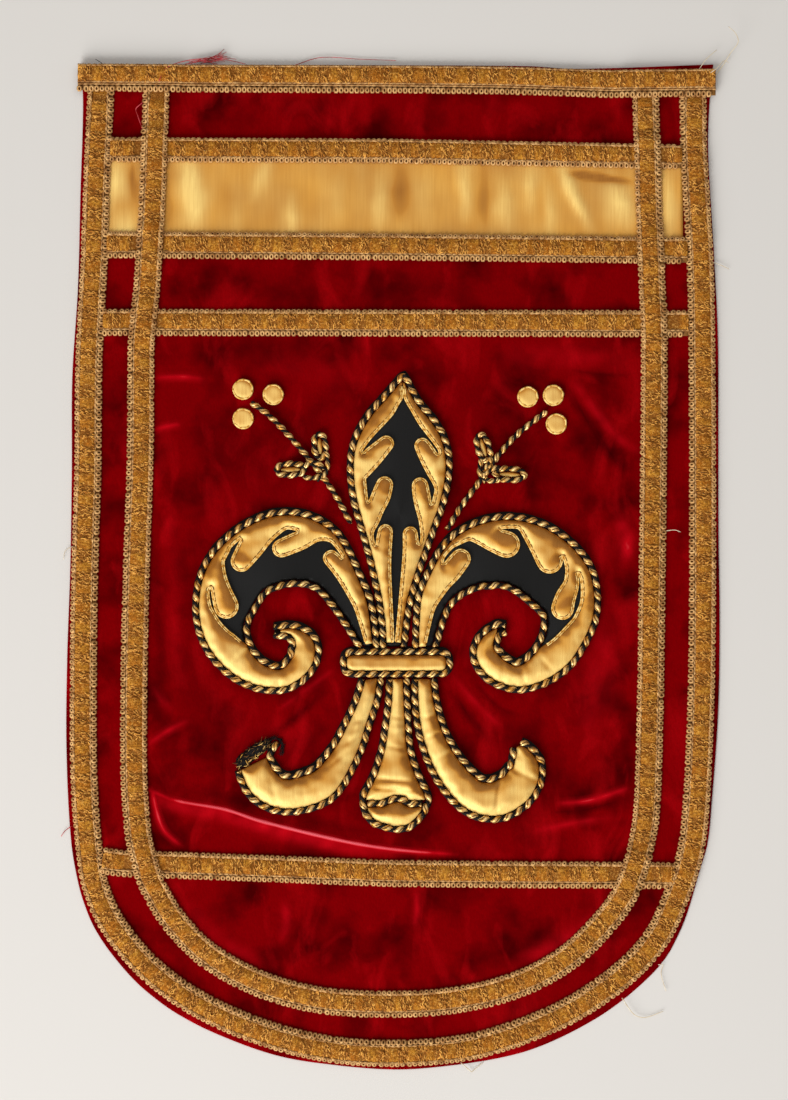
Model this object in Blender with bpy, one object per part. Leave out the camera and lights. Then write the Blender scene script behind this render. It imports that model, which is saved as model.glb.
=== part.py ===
"""Church banner of red velvet, square at the top and round at the foot, lying face up.

Braid frames it twice and crosses it four times, a gold satin strip lies between the two upper crossings,
and a padded lily with couched cord edges and two sprigs fills the middle.
X runs across the banner, Y up it and Z up from the surface it lies on. Sizes and tables are in millimetres.
"""

import math

import bpy
import bmesh
from mathutils import Matrix, Vector
from mathutils.geometry import delaunay_2d_cdt

MM = 0.001

# Driving sizes
GAP = 0.3
PANEL_THICK = 1.6
SATIN_THICK = 0.5
GROUND_THICK = 0.6
BRAID_WIDTH = 18.5
BRAID_TAPE = 1.2
BRAID_PILE = 3.0
PILE_SHARE = 0.5
CORD_RADIUS = 2.05
SPRIG_CORD_RADIUS = 1.9
DISC_RADIUS = 7.0
DISC_RIM = 1.5
DISC_CROWN = 2.4
LEAF_THICK = 1.6
FRAY_THICK = 2.2
FLAME_RIM = 1.0
FLAME_CROWN = 2.7
PAD_RIM = 1.6
PAD_CROWN = 3.8
PAD_REACH = 6.0

# Levels that the pieces rest at
ON_PANEL = PANEL_THICK + GAP
ON_SATIN = ON_PANEL + SATIN_THICK + GAP
ON_GROUND = ON_PANEL + GROUND_THICK + GAP
ABOVE_COLLAR = -53
BELOW_COLLAR = -74.2
PRESSED = BRAID_TAPE + 0.1
LAP = PRESSED + GAP

# Steps on curves
CURVE_STEPS = 10
CORD_TURN = 17
CORD_STEP = 15
BRAID_TURN = 9
BRAID_STEP = 70
RAMP = 6.0
CLEAR = 2.2
END_RING = 1.4
WIDE = 60

# The panel's sides: y, left x, right x
PANEL_SIDES = (
    (334, -208, 213),
    (310.5, -206, 210.5),
    (277.5, -207, 209.5),
    (197.5, -209, 214),
    (151, -211, 216),
    (117.5, -213.5, 216.5),
    (58, -213.5, 216),
    (-22, -215, 217),
    (-75, -217, 217),
    (-121.5, -217, 214.5),
    (-155, -216, 212),
    (-181.5, -214, 209.5),
    (-201.5, -211, 204),
    (-221.5, -206, 198.5),
    (-241.5, -197.5, 191),
    (-261.5, -183.5, 180),
    (-281.5, -164.5, 160.5),
    (-301, -136.5, 133.5),
    (-318, -98, 99),
    (-328, -61, 62),
)
PANEL_FOOT = (1, -334)
# The top edge, from right to left: x, y
PANEL_TOP = ((213, 333), (165, 331.5), (125, 331), (85, 333), (0, 333.5), (-150, 334), (-208, 334))

# Middle lines of the two bent braids: x, y
OUTER_BRAID = (
    (-193.5, 322),
    (-197, 244),
    (-199, 177.5),
    (-202, 130),
    (-202.5, 64.5),
    (-205, -22),
    (-205.5, -88.5),
    (-205, -141.5),
    (-201, -195),
    (-193, -224),
    (-180, -246),
    (-158.5, -269.5),
    (-128.5, -290.5),
    (-92, -307),
    (-48.5, -319),
    (1.5, -323),
    (51, -318.5),
    (94.5, -305),
    (127.5, -288.5),
    (156.5, -267),
    (175, -246),
    (187, -221.5),
    (197, -191.5),
    (201.5, -155),
    (204.5, -88.5),
    (205.5, -22),
    (205.5, 64.5),
    (205, 157.5),
    (203.5, 211),
    (200, 264),
    (199, 322),
)
INNER_BRAID = (
    (-157, 322),
    (-159.5, 250.5),
    (-163, 191),
    (-167.5, 139.5),
    (-168, 64.5),
    (-171, -22),
    (-172, -88.5),
    (-171.5, -155),
    (-167, -188),
    (-159.5, -211.5),
    (-145, -235.5),
    (-120.5, -259.5),
    (-85, -278),
    (-45, -288),
    (1.5, -290.5),
    (48, -286.5),
    (84.5, -276.5),
    (114.5, -260.5),
    (137.5, -239.5),
    (152.5, -219.5),
    (161, -199),
    (167.5, -171.5),
    (170, -135),
    (171, -88.5),
    (172, -22),
    (173, 64.5),
    (173.5, 151),
    (171, 211),
    (167.5, 322),
)
TOP_BRAID = ((-209, 324.5), (-120, 324), (0, 323.5), (85, 322.5), (140, 320.5), (214, 321))

# Braids that cross from side to side: name, y at the left, in the middle and at the right, level, width
CROSS_BRAIDS = (
    ("braid_cross_1", 277, 276, 272, ON_SATIN, 17),
    ("braid_cross_2", 214, 212.5, 210, ON_SATIN, 18.5),
    ("braid_cross_3", 162.5, 162, 161.5, ON_PANEL, 18.5),
    ("braid_cross_4", -196, -203.5, -205, ON_PANEL, 18.5),
)
CROSS_REACH = 190
SATIN_TUCK = 4.5
SATIN_END = 189
# Where the bent braids climb on and off the satin, how much of their ends the top braid covers,
# and how far in from its own ends the top braid lies over them
OVER_SATIN = (272.5, 213)
TOP_COVER = 11.5
TOP_LIFTS = (64, 59)

# Creases in the velvet: height, half width, then x, y along each
CREASES = (
    (2.0, 6.0, ((-158, -150), (-144, -155), (-111.5, -160.5), (-88.5, -168.5), (-33, -181), (2, -186),
                (30, -187.5))),
    (1.3, 3.4, ((-158, -156), (-154.5, -170), (-147, -182))),
    (1.0, 4.0, ((-155, 125.5), (-142, 126.5), (-128, 125))),
    (0.9, 7.0, ((-146, 34), (-144.5, -30), (-139, -90), (-136, -125))),
    (0.8, 5.0, ((122, -160.5), (137, -155.5), (150, -151.5))),
    (0.8, 7.0, ((-60, -218), (-58, -240), (-62, -262))),
    (0.7, 8.0, ((18, -222), (22, -240), (19, -262))),
)
CREASE_STEP = 14

# Wrinkles in the satin strip: x at the upper edge, x at the lower edge, height, half width;
# they start at a height y and run down from there
WRINKLE_TOP = 271
WRINKLE_DROP = 52
WRINKLES = (
    (-137, -133, 0.7, 8),
    (-90, -88, 0.6, 5),
    (-74, -66, 0.6, 5),
    (-9, -9, 0.5, 6),
    (47, 49, 0.6, 5),
    (70, 73, 0.6, 5),
    (90, 92, 0.5, 5),
    (112, 130, 0.8, 5),
    (148, 149, 0.6, 5),
)

# The lily's shapes, each as sections along its middle: x, y, half width to the middle of the cord at its edge
PETAL = (
    (0.5, -60, 6.7),
    (0.5, -49, 7.2),
    (1, -31, 9),
    (1.3, -13.5, 12.5),
    (2.5, 14.5, 20.5),
    (3.5, 42.5, 29.5),
    (4.5, 67, 33),
    (4.5, 86, 29.5),
    (4.5, 101.5, 20),
    (5.5, 114, 9.6),
    (6.4, 120.6, 4.9),
    (7.3, 127.5, 1),
)
PETAL_TIP = (7.3, 127.5)
SCROLL_LEFT = (
    (-13, -62, 4),
    (-17, -51, 5.6),
    (-24, -30, 11),
    (-36.5, -7.5, 14.5),
    (-52.5, 8, 22),
    (-73, 12.5, 24),
    (-96, 2.5, 22.5),
    (-109, -15.5, 21),
    (-113, -39, 16.5),
    (-105, -58.5, 12.5),
    (-90, -71, 9.5),
    (-72.5, -73.5, 8),
    (-60.5, -63, 9),
    (-59, -51, 8.5),
    (-67, -43, 4.5),
    (-79, -42.5, 2.6),
)
SCROLL_RIGHT = (
    (20.5, -61, 6.3),
    (22, -50, 7),
    (26.5, -24.5, 10.5),
    (34.5, -10.5, 13.5),
    (45, 0.5, 18),
    (56, 7, 21),
    (73.5, 10.5, 23),
    (93.5, 5, 24),
    (110.5, -10.5, 23.5),
    (117, -28, 19),
    (114.5, -44, 15),
    (107.5, -57.5, 13),
    (95, -68.5, 10.5),
    (81.5, -72.5, 9),
    (68.5, -67, 9.5),
    (62, -58, 9),
    (63, -49, 6.5),
    (69, -41.5, 3.4),
    (75, -41, 2.6),
)
FOOT_LEFT = (
    (-13.5, -69, 6),
    (-15.5, -82, 6.5),
    (-18.3, -91, 7),
    (-22.5, -101.5, 7.5),
    (-29, -117.5, 9),
    (-36.5, -131, 10),
    (-48, -144.5, 12),
    (-65.5, -150.5, 12),
    (-78, -149, 12.2),
    (-87, -141.8, 12.6),
    (-92.6, -130.4, 11.5),
)
FOOT_CENTRE = (
    (3.2, -69, 5.6),
    (3.2, -83, 6),
    (3.1, -93, 6.6),
    (2.5, -107.5, 8),
    (2, -125, 10.5),
    (2, -141.5, 16.5),
    (2, -151.5, 21.5),
    (1.5, -157.5, 21.5),
    (2, -165, 18.5),
    (2.5, -171, 12),
    (2.5, -174, 4),
)
FOOT_RIGHT = (
    (20.7, -69, 6.4),
    (20.9, -80, 6.5),
    (22.2, -92.5, 7.6),
    (25, -106.5, 8.5),
    (30, -120.5, 9.5),
    (39, -136.5, 11),
    (53, -151, 12.4),
    (68.3, -153.9, 13.6),
    (82, -146.3, 13.2),
    (88, -134, 11.6),
    (86, -124, 7.6),
    (82.3, -118.2, 3.4),
)
FOOT_LEFT_HOOK = ((-79.6, -120.5), (-76.5, -117))
FRAY = (
    (-82.8, -115.6, 1.6), (-86.5, -119, 2.9), (-93.5, -124, 3.4), (-99.8, -129, 3.2), (-102.6, -131.2, 1.6),
)
TIP_CORD = ((-16.3, -157), (-7.5, -157), (-0.5, -154), (6, -154), (10.5, -157), (19.3, -157))

# Inner edge of the gold along a shape: section number, share of the half width (1 at the outer cord)
PETAL_LEFT_BAND = (
    (0, 0.9), (2, 0.75), (3.9, 0.7), (4.9, 0.67), (6, 0.7), (6.5, 0.78), (7, 0.62),
    (7.5, 0.42), (8, 0.2), (8.5, 0.05), (8.8, -0.1), (9, -0.1), (10, 0.03), (11, 0.03),
)
PETAL_RIGHT_BAND = (
    (0, 0.9), (2, 0.75), (3.9, 0.7), (4.9, 0.76), (6, 0.74), (6.5, 0.8), (7, 0.65),
    (7.5, 0.52), (8, 0.46), (8.5, 0.33), (8.8, 0.2), (9, 0.18), (10, 0.05), (11, 0.05),
)
SCROLL_LEFT_BAND = (
    (0, 1), (1, 1), (2.4, 0.8), (3.1, 0.66), (3.9, 0.64), (4.4, 0.47), (4.9, 0.53), (5.6, 0.72), (5.9, 0.7),
    (6.3, 0.65), (6.9, 0.6), (7.2, 0.58), (7.5, 0.44), (7.8, 0.15), (8.4, -0.44), (9.2, -1), (10, -1.1),
    (15, -1.1),
)
SCROLL_RIGHT_BAND = (
    (0, 0.5), (1, 0.45), (2, 0.4), (2.8, 0.45), (3.4, 0.52), (3.75, 0.68), (4.3, 0.68), (5.2, 0.6),
    (5.7, 0.62), (6.2, 0.68), (7.1, 0.7), (7.5, 0.66), (8.2, 0.57), (8.8, 0.4), (9.3, 0.16), (10, -0.24),
    (11, -0.7), (11.8, -1), (12.5, -1.1), (18, -1.1),
)

# Locks that curl off the gold, each as sections from root to tip: x, y, half width
PETAL_LEFT_LOCKS = (
    ((-26, 50, 2.7), (-23.5, 60.5, 5.3), (-15.5, 71, 6.8), (-4.5, 82, 5.1)),
    ((-20.5, 14.5, 2.7), (-16.5, 26.5, 5.3), (-12, 38, 5.7), (-8, 47, 6.2), (-5.5, 54.5, 5.5)),
    ((-2, -50, 2.9), (-4, -22, 3.7), (-6.5, -2.5, 5.2), (-6.5, 11.5, 5.5), (-5, 23.5, 4.8)),
)
PETAL_RIGHT_LOCKS = (
    ((32.5, 47, 2), (30, 58, 4.7), (25.5, 70, 6.3), (19.5, 80.5, 5.1)),
    ((20.5, 14, 2), (21.5, 24.5, 3.3), (21.5, 34, 4.9), (19.5, 44.5, 5.7), (18, 54, 5.3)),
    ((3.7, -50, 2.2), (6.5, -24.5, 2.7), (9.5, -6.5, 4.2), (12, 9.5, 5.3), (11.5, 22, 4.8)),
)
SCROLL_LEFT_LOCKS = (
    ((-16, -51, 2.3), (-21, -27.5, 4.3), (-26, -15.5, 5.5), (-32.5, -3.5, 6), (-41, 6, 5.2)),
    ((-28.5, 10, 2), (-38.5, 20.5, 4.6), (-50, 22.5, 5.3), (-62, 17.5, 6.3), (-74, 12.5, 5.9)),
    ((-58.5, 28.5, 3.3), (-72, 30, 5.3), (-87, 22.5, 8.6), (-95, 12, 8.3), (-100.5, 4, 6.9)),
    ((-111, 12.5, 3.3), (-116.5, 3.5, 4.7), (-115.5, -10, 6), (-110.5, -26, 8)),
)
SCROLL_RIGHT_LOCKS = (
    ((17.8, -56, 3.2), (23, -30, 4), (26, -21.5, 4.9), (32, -10.5, 6.3), (39, -2, 7), (45, 5.5, 6.5)),
    ((39, 14.5, 2.7), (50, 21.5, 4), (60.5, 20, 6.3), (68.5, 17.5, 8), (75.5, 15, 8.6)),
    ((76.5, 30.5, 2.7), (86, 29, 4.7), (95.5, 20.5, 8.3), (100.5, 12, 8.6), (104, 4.5, 8.6)),
    ((112.5, 13.5, 2.7), (117.5, 1.5, 3.3), (118.5, -10, 5), (114.5, -20, 6.6), (112.5, -27.5, 7.3)),
)

# Middle line of the collar's cord: left, right, upper and lower edge, corner radius
COLLAR = (-33, 37.6, -56.3, -71, 5.5)

# Sprigs: stem x, y; leaves as base x, y, tip x, y, half width; discs x, y
STEM_LEFT = (
    (-94, 109), (-85, 103), (-75, 93), (-65, 83), (-56.5, 72.5), (-50, 64.5), (-43, 55), (-37, 46),
    (-32.5, 38), (-28, 29),
)
LEAVES_LEFT = ((-48, 72, -49, 88.5, 3.9), (-58.5, 65, -77.5, 64.5, 3.9))
DISCS_LEFT = ((-99.5, 118), (-79.5, 114.5), (-99.5, 98.5))
STEM_RIGHT = (
    (101.5, 103), (94.5, 98), (82.5, 88), (73, 78), (64.5, 65.5), (55, 54), (46.5, 42), (40, 32), (36, 25),
)
LEAVES_RIGHT = ((62.5, 70.5, 57.5, 88, 3.9), (67.5, 62, 87.5, 61, 3.9))
DISCS_RIGHT = ((89.5, 113), (106.5, 114), (108.5, 95))

# Colour, roughness and metallic value of each stuff
PAINTS = {
    "velvet": ((0.26, 0.002, 0.004), 0.85, 0.0),
    "gold satin": ((0.62, 0.36, 0.10), 0.38, 0.0),
    "black satin": ((0.012, 0.012, 0.015), 0.42, 0.0),
    "braid": ((0.42, 0.22, 0.04), 0.75, 0.0),
    "metal cord": ((0.55, 0.33, 0.08), 0.35, 0.6),
    "frayed black": ((0.02, 0.013, 0.01), 0.8, 0.0),
}


def clear_scene():
    for old in list(bpy.data.objects):
        bpy.data.objects.remove(old, do_unlink=True)


def paint(stuff):
    material = bpy.data.materials.get(stuff)
    if material:
        return material
    colour, roughness, metallic = PAINTS[stuff]
    material = bpy.data.materials.new(stuff)
    material.use_nodes = True
    shader = material.node_tree.nodes["Principled BSDF"]
    shader.inputs["Base Color"].default_value = (*colour, 1)
    shader.inputs["Roughness"].default_value = roughness
    shader.inputs["Metallic"].default_value = metallic
    return material


def add_object(name, points, faces, stuff):
    """A new object from points in millimetres, its faces turned outwards."""
    mesh = bpy.data.meshes.new(name)
    mesh.from_pydata([Vector(point) * MM for point in points], [], faces)
    work = bmesh.new()
    work.from_mesh(mesh)
    bmesh.ops.recalc_face_normals(work, faces=work.faces)
    work.to_mesh(mesh)
    work.free()
    mesh.materials.append(paint(stuff))
    mesh.shade_smooth()
    mesh.set_sharp_from_angle(angle=math.radians(40))
    piece = bpy.data.objects.new(name, mesh)
    bpy.context.scene.collection.objects.link(piece)
    return piece


def smooth(rows, closed=False):
    """A Catmull-Rom curve through rows of equal length, at CURVE_STEPS points a span."""
    points = [Vector(row) for row in rows]
    if closed:
        chain = [points[-1], *points, points[0], points[1]]
    else:
        chain = [2 * points[0] - points[1], *points, 2 * points[-1] - points[-2]]
    curve = []
    for a, b, c, d in zip(chain, chain[1:], chain[2:], chain[3:]):
        for step in range(CURVE_STEPS):
            t = step / CURVE_STEPS
            second = 2 * a - 5 * b + 4 * c - d
            third = 3 * (b - c) + d - a
            curve.append(0.5 * (2 * b + (c - a) * t + second * t**2 + third * t**3))
    return curve if closed else curve + [points[-1]]


def heading(a, b):
    return (b.xy - a.xy).normalized()


def thin(curve, turn, step, marks=()):
    """Fewer points of a fine curve: after each turn in degrees, each step in millimetres and at marks."""
    forced = {min(range(len(curve)), key=lambda i: (curve[i].xy - mark.xy).length) for mark in marks}
    kept = [curve[0]]
    turned = 0
    for i in range(1, len(curve) - 1):
        turned += math.degrees(heading(curve[i - 1], curve[i]).angle(heading(curve[i], curve[i + 1]), 0))
        far = (curve[i].xy - kept[-1].xy).length
        if i in forced or far >= step or (turned >= turn and far > 1):
            kept.append(curve[i])
            turned = 0
    if (curve[-1].xy - kept[-1].xy).length < 1 and len(kept) > 1:
        kept.pop()
    return kept + [curve[-1]]


def mitres(line, closed=False):
    """At each point of a line, the sideways vector that keeps its edges parallel."""
    out = []
    last = len(line) - 1
    for i, here in enumerate(line):
        before = line[i - 1] if i or closed else None
        after = line[(i + 1) % len(line)] if i < last or closed else None
        ways = [heading(before, here)] if before is not None else []
        ways += [heading(here, after)] if after is not None else []
        sides = [Vector((-way.y, way.x)) for way in ways]
        middle = sum(sides, Vector((0, 0))).normalized()
        out.append(middle / max(0.6, middle.dot(sides[0])))
    return out


def beside(line, distance, closed=False):
    """The line moved to its left by a distance."""
    return [point.xy + side * distance for point, side in zip(line, mitres(line, closed))]


def edges_of(rows):
    """Left and right edge of a shape given as sections, as x, y, half width."""
    curve = smooth(rows)
    left, right = [], []
    for i, here in enumerate(curve):
        way = heading(curve[max(i - 1, 0)], curve[min(i + 1, len(curve) - 1)])
        side = Vector((-way.y, way.x))
        for edge, sign in ((left, 1), (right, -1)):
            spot = here.xy + side * here.z * sign
            if not edge or (spot - edge[-1].xy).dot(way) > 0:
                edge.append(Vector((*spot, here.z)))
    return left, right


def cut(edge, limit):
    """An edge from where it leaves the collar: above the limit in y, or below it under the collar."""
    sign = 1 if limit > -60 else -1
    first = next(i for i, spot in enumerate(edge) if (spot.y - limit) * sign > 0)
    before, after = edge[first - 1], edge[first]
    start = before.lerp(after, (limit - before.y) / (after.y - before.y))
    return [start, *edge[first:]]


def cord_lines(rows, limit):
    """Cord lines along both edges of a shape, from the collar on."""
    return [thin(cut(edge, limit), CORD_TURN, CORD_STEP) for edge in edges_of(rows)]


def roomy(line):
    """The part of a cord line where the shape is wide enough to hold cloth between its cords."""
    least = CORD_RADIUS + GAP + 0.8
    last = max(i for i, spot in enumerate(line) if spot.z > least)
    kept = line[: last + 1]
    if last + 1 < len(line):
        a, b = line[last], line[last + 1]
        kept.append(a.lerp(b, (a.z - least) / (a.z - b.z)))
    return kept


def region_of(left, right):
    """The outline between two cord lines, clear of the cords."""
    inset = CORD_RADIUS + GAP
    return beside(roomy(right), inset) + beside(roomy(left), -inset)[::-1]


def line_at(rows, shares, sign):
    """A line along a shape at shares of its half width, as section number and share."""
    curve = smooth(rows)
    line = []
    for number, share in smooth_pairs(shares):
        i = min(int(number * CURVE_STEPS), len(curve) - 2)
        way = heading(curve[i], curve[i + 1])
        here = curve[i].lerp(curve[i + 1], number * CURVE_STEPS - i)
        line.append(here.xy + Vector((-way.y, way.x)) * here.z * share * sign)
    return line


def smooth_pairs(pairs):
    """Pairs filled in by straight steps, four to each."""
    filled = []
    for (a, b), (c, d) in zip(pairs, pairs[1:]):
        filled += [(a + (c - a) * k / 4, b + (d - b) * k / 4) for k in range(4)]
    return filled + [pairs[-1]]


def lock_outline(rows):
    """A round-ended lock."""
    left, right = (thin(edge, 14, 8) for edge in edges_of(rows))
    centre = Vector(rows[-1][:2])
    reach = rows[-1][2]
    start = right[-1].xy - centre
    cap = []
    for k in range(1, 7):
        turned = start.copy()
        turned.rotate(Matrix.Rotation(math.pi * k / 7, 2))
        cap.append(centre + turned.normalized() * reach)
    return [spot.xy for spot in right] + cap + [spot.xy for spot in left[::-1]]


def fused(within, shapes):
    """Outline of all that lies inside one outline and in any of the other shapes."""
    loops = [facing_up(loop) for loop in (within, *shapes)]
    points, faces = [], []
    for loop in loops:
        faces.append(list(range(len(points), len(points) + len(loop))))
        points += [spot.xy for spot in loop]
    spots, _, triangles, _, _, owners = delaunay_2d_cdt(points, [], faces, 1, 1e-4)
    kept = [t for t, own in zip(triangles, owners) if 0 in own and any(o > 0 for o in own)]
    return largest_loop(spots, kept)


def facing_up(loop):
    """The loop run anticlockwise."""
    return loop[::-1] if area(loop) < 0 else loop


def largest_loop(spots, triangles):
    rim = {}
    seen = {(a, b) for t in triangles for a, b in zip(t, t[1:] + t[:1])}
    for a, b in seen:
        if (b, a) not in seen:
            rim.setdefault(a, []).append(b)
    loops = []
    while rim:
        start = here = next(iter(sorted(rim)))
        loop = []
        while here in rim:
            loop.append(spots[here])
            there = rim[here].pop()
            if not rim[here]:
                del rim[here]
            here = there
        loops.append(loop)
    return max(loops, key=lambda loop: abs(area(loop)))


def area(loop):
    return 0.5 * sum(a.x * b.y - b.x * a.y for a, b in zip(loop, loop[1:] + loop[:1]))


def tidy(loop, closest=0.8, straight=0.08):
    """The loop without points that crowd their neighbour or lie on a straight run."""
    kept = []
    for i, spot in enumerate(loop):
        after = loop[(i + 1) % len(loop)]
        if kept:
            run = after - kept[-1]
            off = abs(run.cross(spot - kept[-1])) / max(run.length, 1e-6)
            if (spot - kept[-1]).length < closest or off < straight and run.dot(spot - kept[-1]) > 0:
                continue
        kept.append(spot)
    return kept[:-1] if (kept[0] - kept[-1]).length < closest else kept


def reach_in(spot, loop):
    """Distance from a spot to a loop."""
    best = math.inf
    for a, b in zip(loop, loop[1:] + loop[:1]):
        run = b - a
        share = min(1, max(0, (spot - a).dot(run) / max(run.length_squared, 1e-9)))
        best = min(best, (spot - a - run * share).length)
    return best


def inside(spot, loop):
    odd = False
    for a, b in zip(loop, loop[1:] + loop[:1]):
        if (a.y > spot.y) != (b.y > spot.y) and spot.x < a.x + (b.x - a.x) * (spot.y - a.y) / (b.y - a.y):
            odd = not odd
    return odd


def fill(loop, more=()):
    """Triangles inside a loop, with further points, in the order loop then more."""
    outline = list(range(len(loop)))
    _, _, triangles, origins, _, _ = delaunay_2d_cdt([*loop, *more], [], [outline], 1, 1e-5)
    number = {i: own[0] for i, own in enumerate(origins)}
    return [[number[i] for i in t] for t in triangles]


def plate(name, loop, low, high, more, stuff):
    """A flat piece: low and high give its two heights at each outline point and each further point."""
    loop = facing_up(loop)
    count = len(loop)
    top = fill(loop, [Vector(spot[:2]) for spot in more])
    lows = [low(*spot, 0) for spot in loop] + [low(*spot) for spot in more]
    highs = [high(*spot, 0) for spot in loop] + [high(*spot) for spot in more]
    flat = max(lows) - min(lows) < 1e-6
    points = [(*spot, z) for spot, z in zip([*loop, *(Vector(m[:2]) for m in more)], highs)]
    points += [(*spot, z) for spot, z in zip([*loop, *(Vector(m[:2]) for m in more)], lows)]
    total = len(loop) + len(more)
    faces = list(top)
    under = fill(loop) if flat else top
    faces += [[total + i for i in t[::-1]] for t in under]
    faces += [[i, total + i, total + (i + 1) % count, (i + 1) % count] for i in range(count)]
    if flat:
        points = points[: total + count]
    return add_object(name, points, faces, stuff)


def padded(name, loop, low, rim, crown, stuff):
    """A padded piece: flat below, its top rising from the rim to the crown within PAD_REACH of the edge."""
    loop = tidy(facing_up(loop))
    more = []
    for distance in (1.7, 4.2):
        for spot in beside(loop, distance, closed=True):
            away = reach_in(spot, loop)
            crowd = min([(spot - other.xy).length for other in more], default=9)
            if away > distance * 0.86 and crowd > 2.2 and inside(spot, loop):
                share = 1 - min(1, away / PAD_REACH)
                more.append(Vector((*spot, rim + (crown - rim) * math.sqrt(1 - share * share))))
    return plate(name, loop, lambda x, y, z: low, lambda x, y, z: low + (z or rim), more, stuff)


def swept(name, line, sections, stuff, closed=False):
    """A body along a line: sections give, at each point, the profile as across, height."""
    points = []
    for here, side, section in zip(line, mitres(line, closed), sections):
        points += [(*(here.xy + side * across), height) for across, height in section]
    sides = len(sections[0])
    rings = len(line)
    faces = []
    for i in range(rings if closed else rings - 1):
        a, b = i * sides, (i + 1) % rings * sides
        faces += [[a + k, a + (k + 1) % sides, b + (k + 1) % sides, b + k] for k in range(sides)]
    if not closed:
        faces += [list(range(sides)), list(range((rings - 1) * sides, rings * sides))]
    return add_object(name, points, faces, stuff)


def cord(name, line, closed=False, radius=CORD_RADIUS):
    """A couched cord as a six-sided tube that lies flat on the velvet."""
    ring = [(radius * math.cos(math.pi * k / 3), radius * math.sin(math.pi * k / 3)) for k in range(6)]
    low = ON_PANEL + radius * math.sin(math.pi / 3)
    section = [(across, low + height) for across, height in ring]
    return swept(name, line, [section] * len(line), "metal cord", closed)


def lengths(curve):
    run = [0]
    for a, b in zip(curve, curve[1:]):
        run.append(run[-1] + (b.xy - a.xy).length)
    return run


def meeting(curve, other, right):
    """Where two curves cross on one side, and half the length that one braid covers of the other."""
    near = [p for p in curve if (p.x > 0) == right and abs(p.x) > 100]
    across = [q for q in other if (q.x > 0) == right]
    i, j = min(
        ((i, j) for i in range(len(near) - 1) for j in range(len(across) - 1)),
        key=lambda pair: (near[pair[0]].xy - across[pair[1]].xy).length,
    )
    way = heading(near[i], near[i + 1])
    angle = way.angle(heading(across[j], across[j + 1]))
    half = BRAID_WIDTH / 2 * (1 + abs(math.cos(angle))) / math.sin(angle)
    return near[i].xy, half


def level_at(run, base, humps):
    """Height of a braid's underside after a length run, over humps as from, to, height."""
    level = base
    for start, end, height in humps:
        out = max(start - run, run - end, 0)
        level = max(level, base + height * max(0, 1 - out / RAMP))
    return level


def pile_at(run, flats):
    """Height of the pile, pressed down to the tape where another braid lies on it."""
    pile = BRAID_PILE
    for start, end in flats:
        out = max(start - run, run - end, 0)
        pile = min(pile, PRESSED + (BRAID_PILE - PRESSED) * min(1, out / (RAMP / 2)))
    return pile


def braid_section(level, pile, width):
    half = width / 2
    ridge = half * PILE_SHARE
    foot = ridge + 1.3
    top = level + BRAID_TAPE
    return [
        (-half, level), (half, level), (half, top), (foot, top + 0.1),
        (ridge, level + pile), (-ridge, level + pile), (-foot, top + 0.1), (-half, top),
    ]


def braid(name, curve, base, humps=(), flats=(), width=BRAID_WIDTH):
    """A braid along a curve, lifted over humps and pressed flat under others, both as lengths along it."""
    run = lengths(curve)
    marks = []
    for start, end, *_ in humps:
        marks += [start - RAMP, start, end, end + RAMP]
    for start, end in flats:
        marks += [start - RAMP / 2, start, end, end + RAMP / 2]
    places = range(len(run))
    spots = [curve[min(places, key=lambda i: abs(run[i] - mark))] for mark in marks if 0 < mark < run[-1]]
    line = thin(curve, BRAID_TURN, BRAID_STEP, spots)
    sections = []
    for here in line:
        far = run[min(range(len(curve)), key=lambda i: (curve[i].xy - here.xy).length)]
        sections.append(braid_section(level_at(far, base, humps), pile_at(far, flats), width))
    return swept(name, line, sections, "braid"), line


def run_at(curve, spot):
    run = lengths(curve)
    return run[min(range(len(curve)), key=lambda i: (curve[i].xy - spot.xy).length)]


def fine(rows):
    """A smooth curve with a point at about every millimetre."""
    curve = smooth(rows)
    out = [curve[0]]
    for a, b in zip(curve, curve[1:]):
        pieces = max(1, round((b - a).length))
        out += [a.lerp(b, k / pieces) for k in range(1, pieces + 1)]
    return out


def make_panel():
    left = [(x, y) for y, x, _ in PANEL_SIDES]
    right = [(x, y) for y, _, x in PANEL_SIDES[::-1]]
    loop = thin(smooth([*left, PANEL_FOOT, *right]), 7, 60)
    loop += thin(smooth(PANEL_TOP), 4, 90)[1:-1]
    more = []
    for height, half, rows in CREASES:
        line = thin(smooth(rows), 12, CREASE_STEP)
        for i, (here, side) in enumerate(zip(line, mitres(line))):
            along = math.sqrt(max(0, math.sin(math.pi * i / (len(line) - 1))))
            for across, share in ((-1, 0), (-0.4, 0.4), (0, 1), (0.4, 0.4), (1, 0)):
                more.append(Vector((*(here.xy + side * across * half), height * share * along)))
    return plate("velvet_panel", loop, lambda x, y, z: z, lambda x, y, z: PANEL_THICK + z, more, "velvet")


def cross_curve(left, middle, right):
    return fine(((-CROSS_REACH - 12, left), (-CROSS_REACH / 2, (left + middle) / 2), (0, middle),
                 (CROSS_REACH / 2, (middle + right) / 2), (CROSS_REACH + 12, right)))


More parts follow.
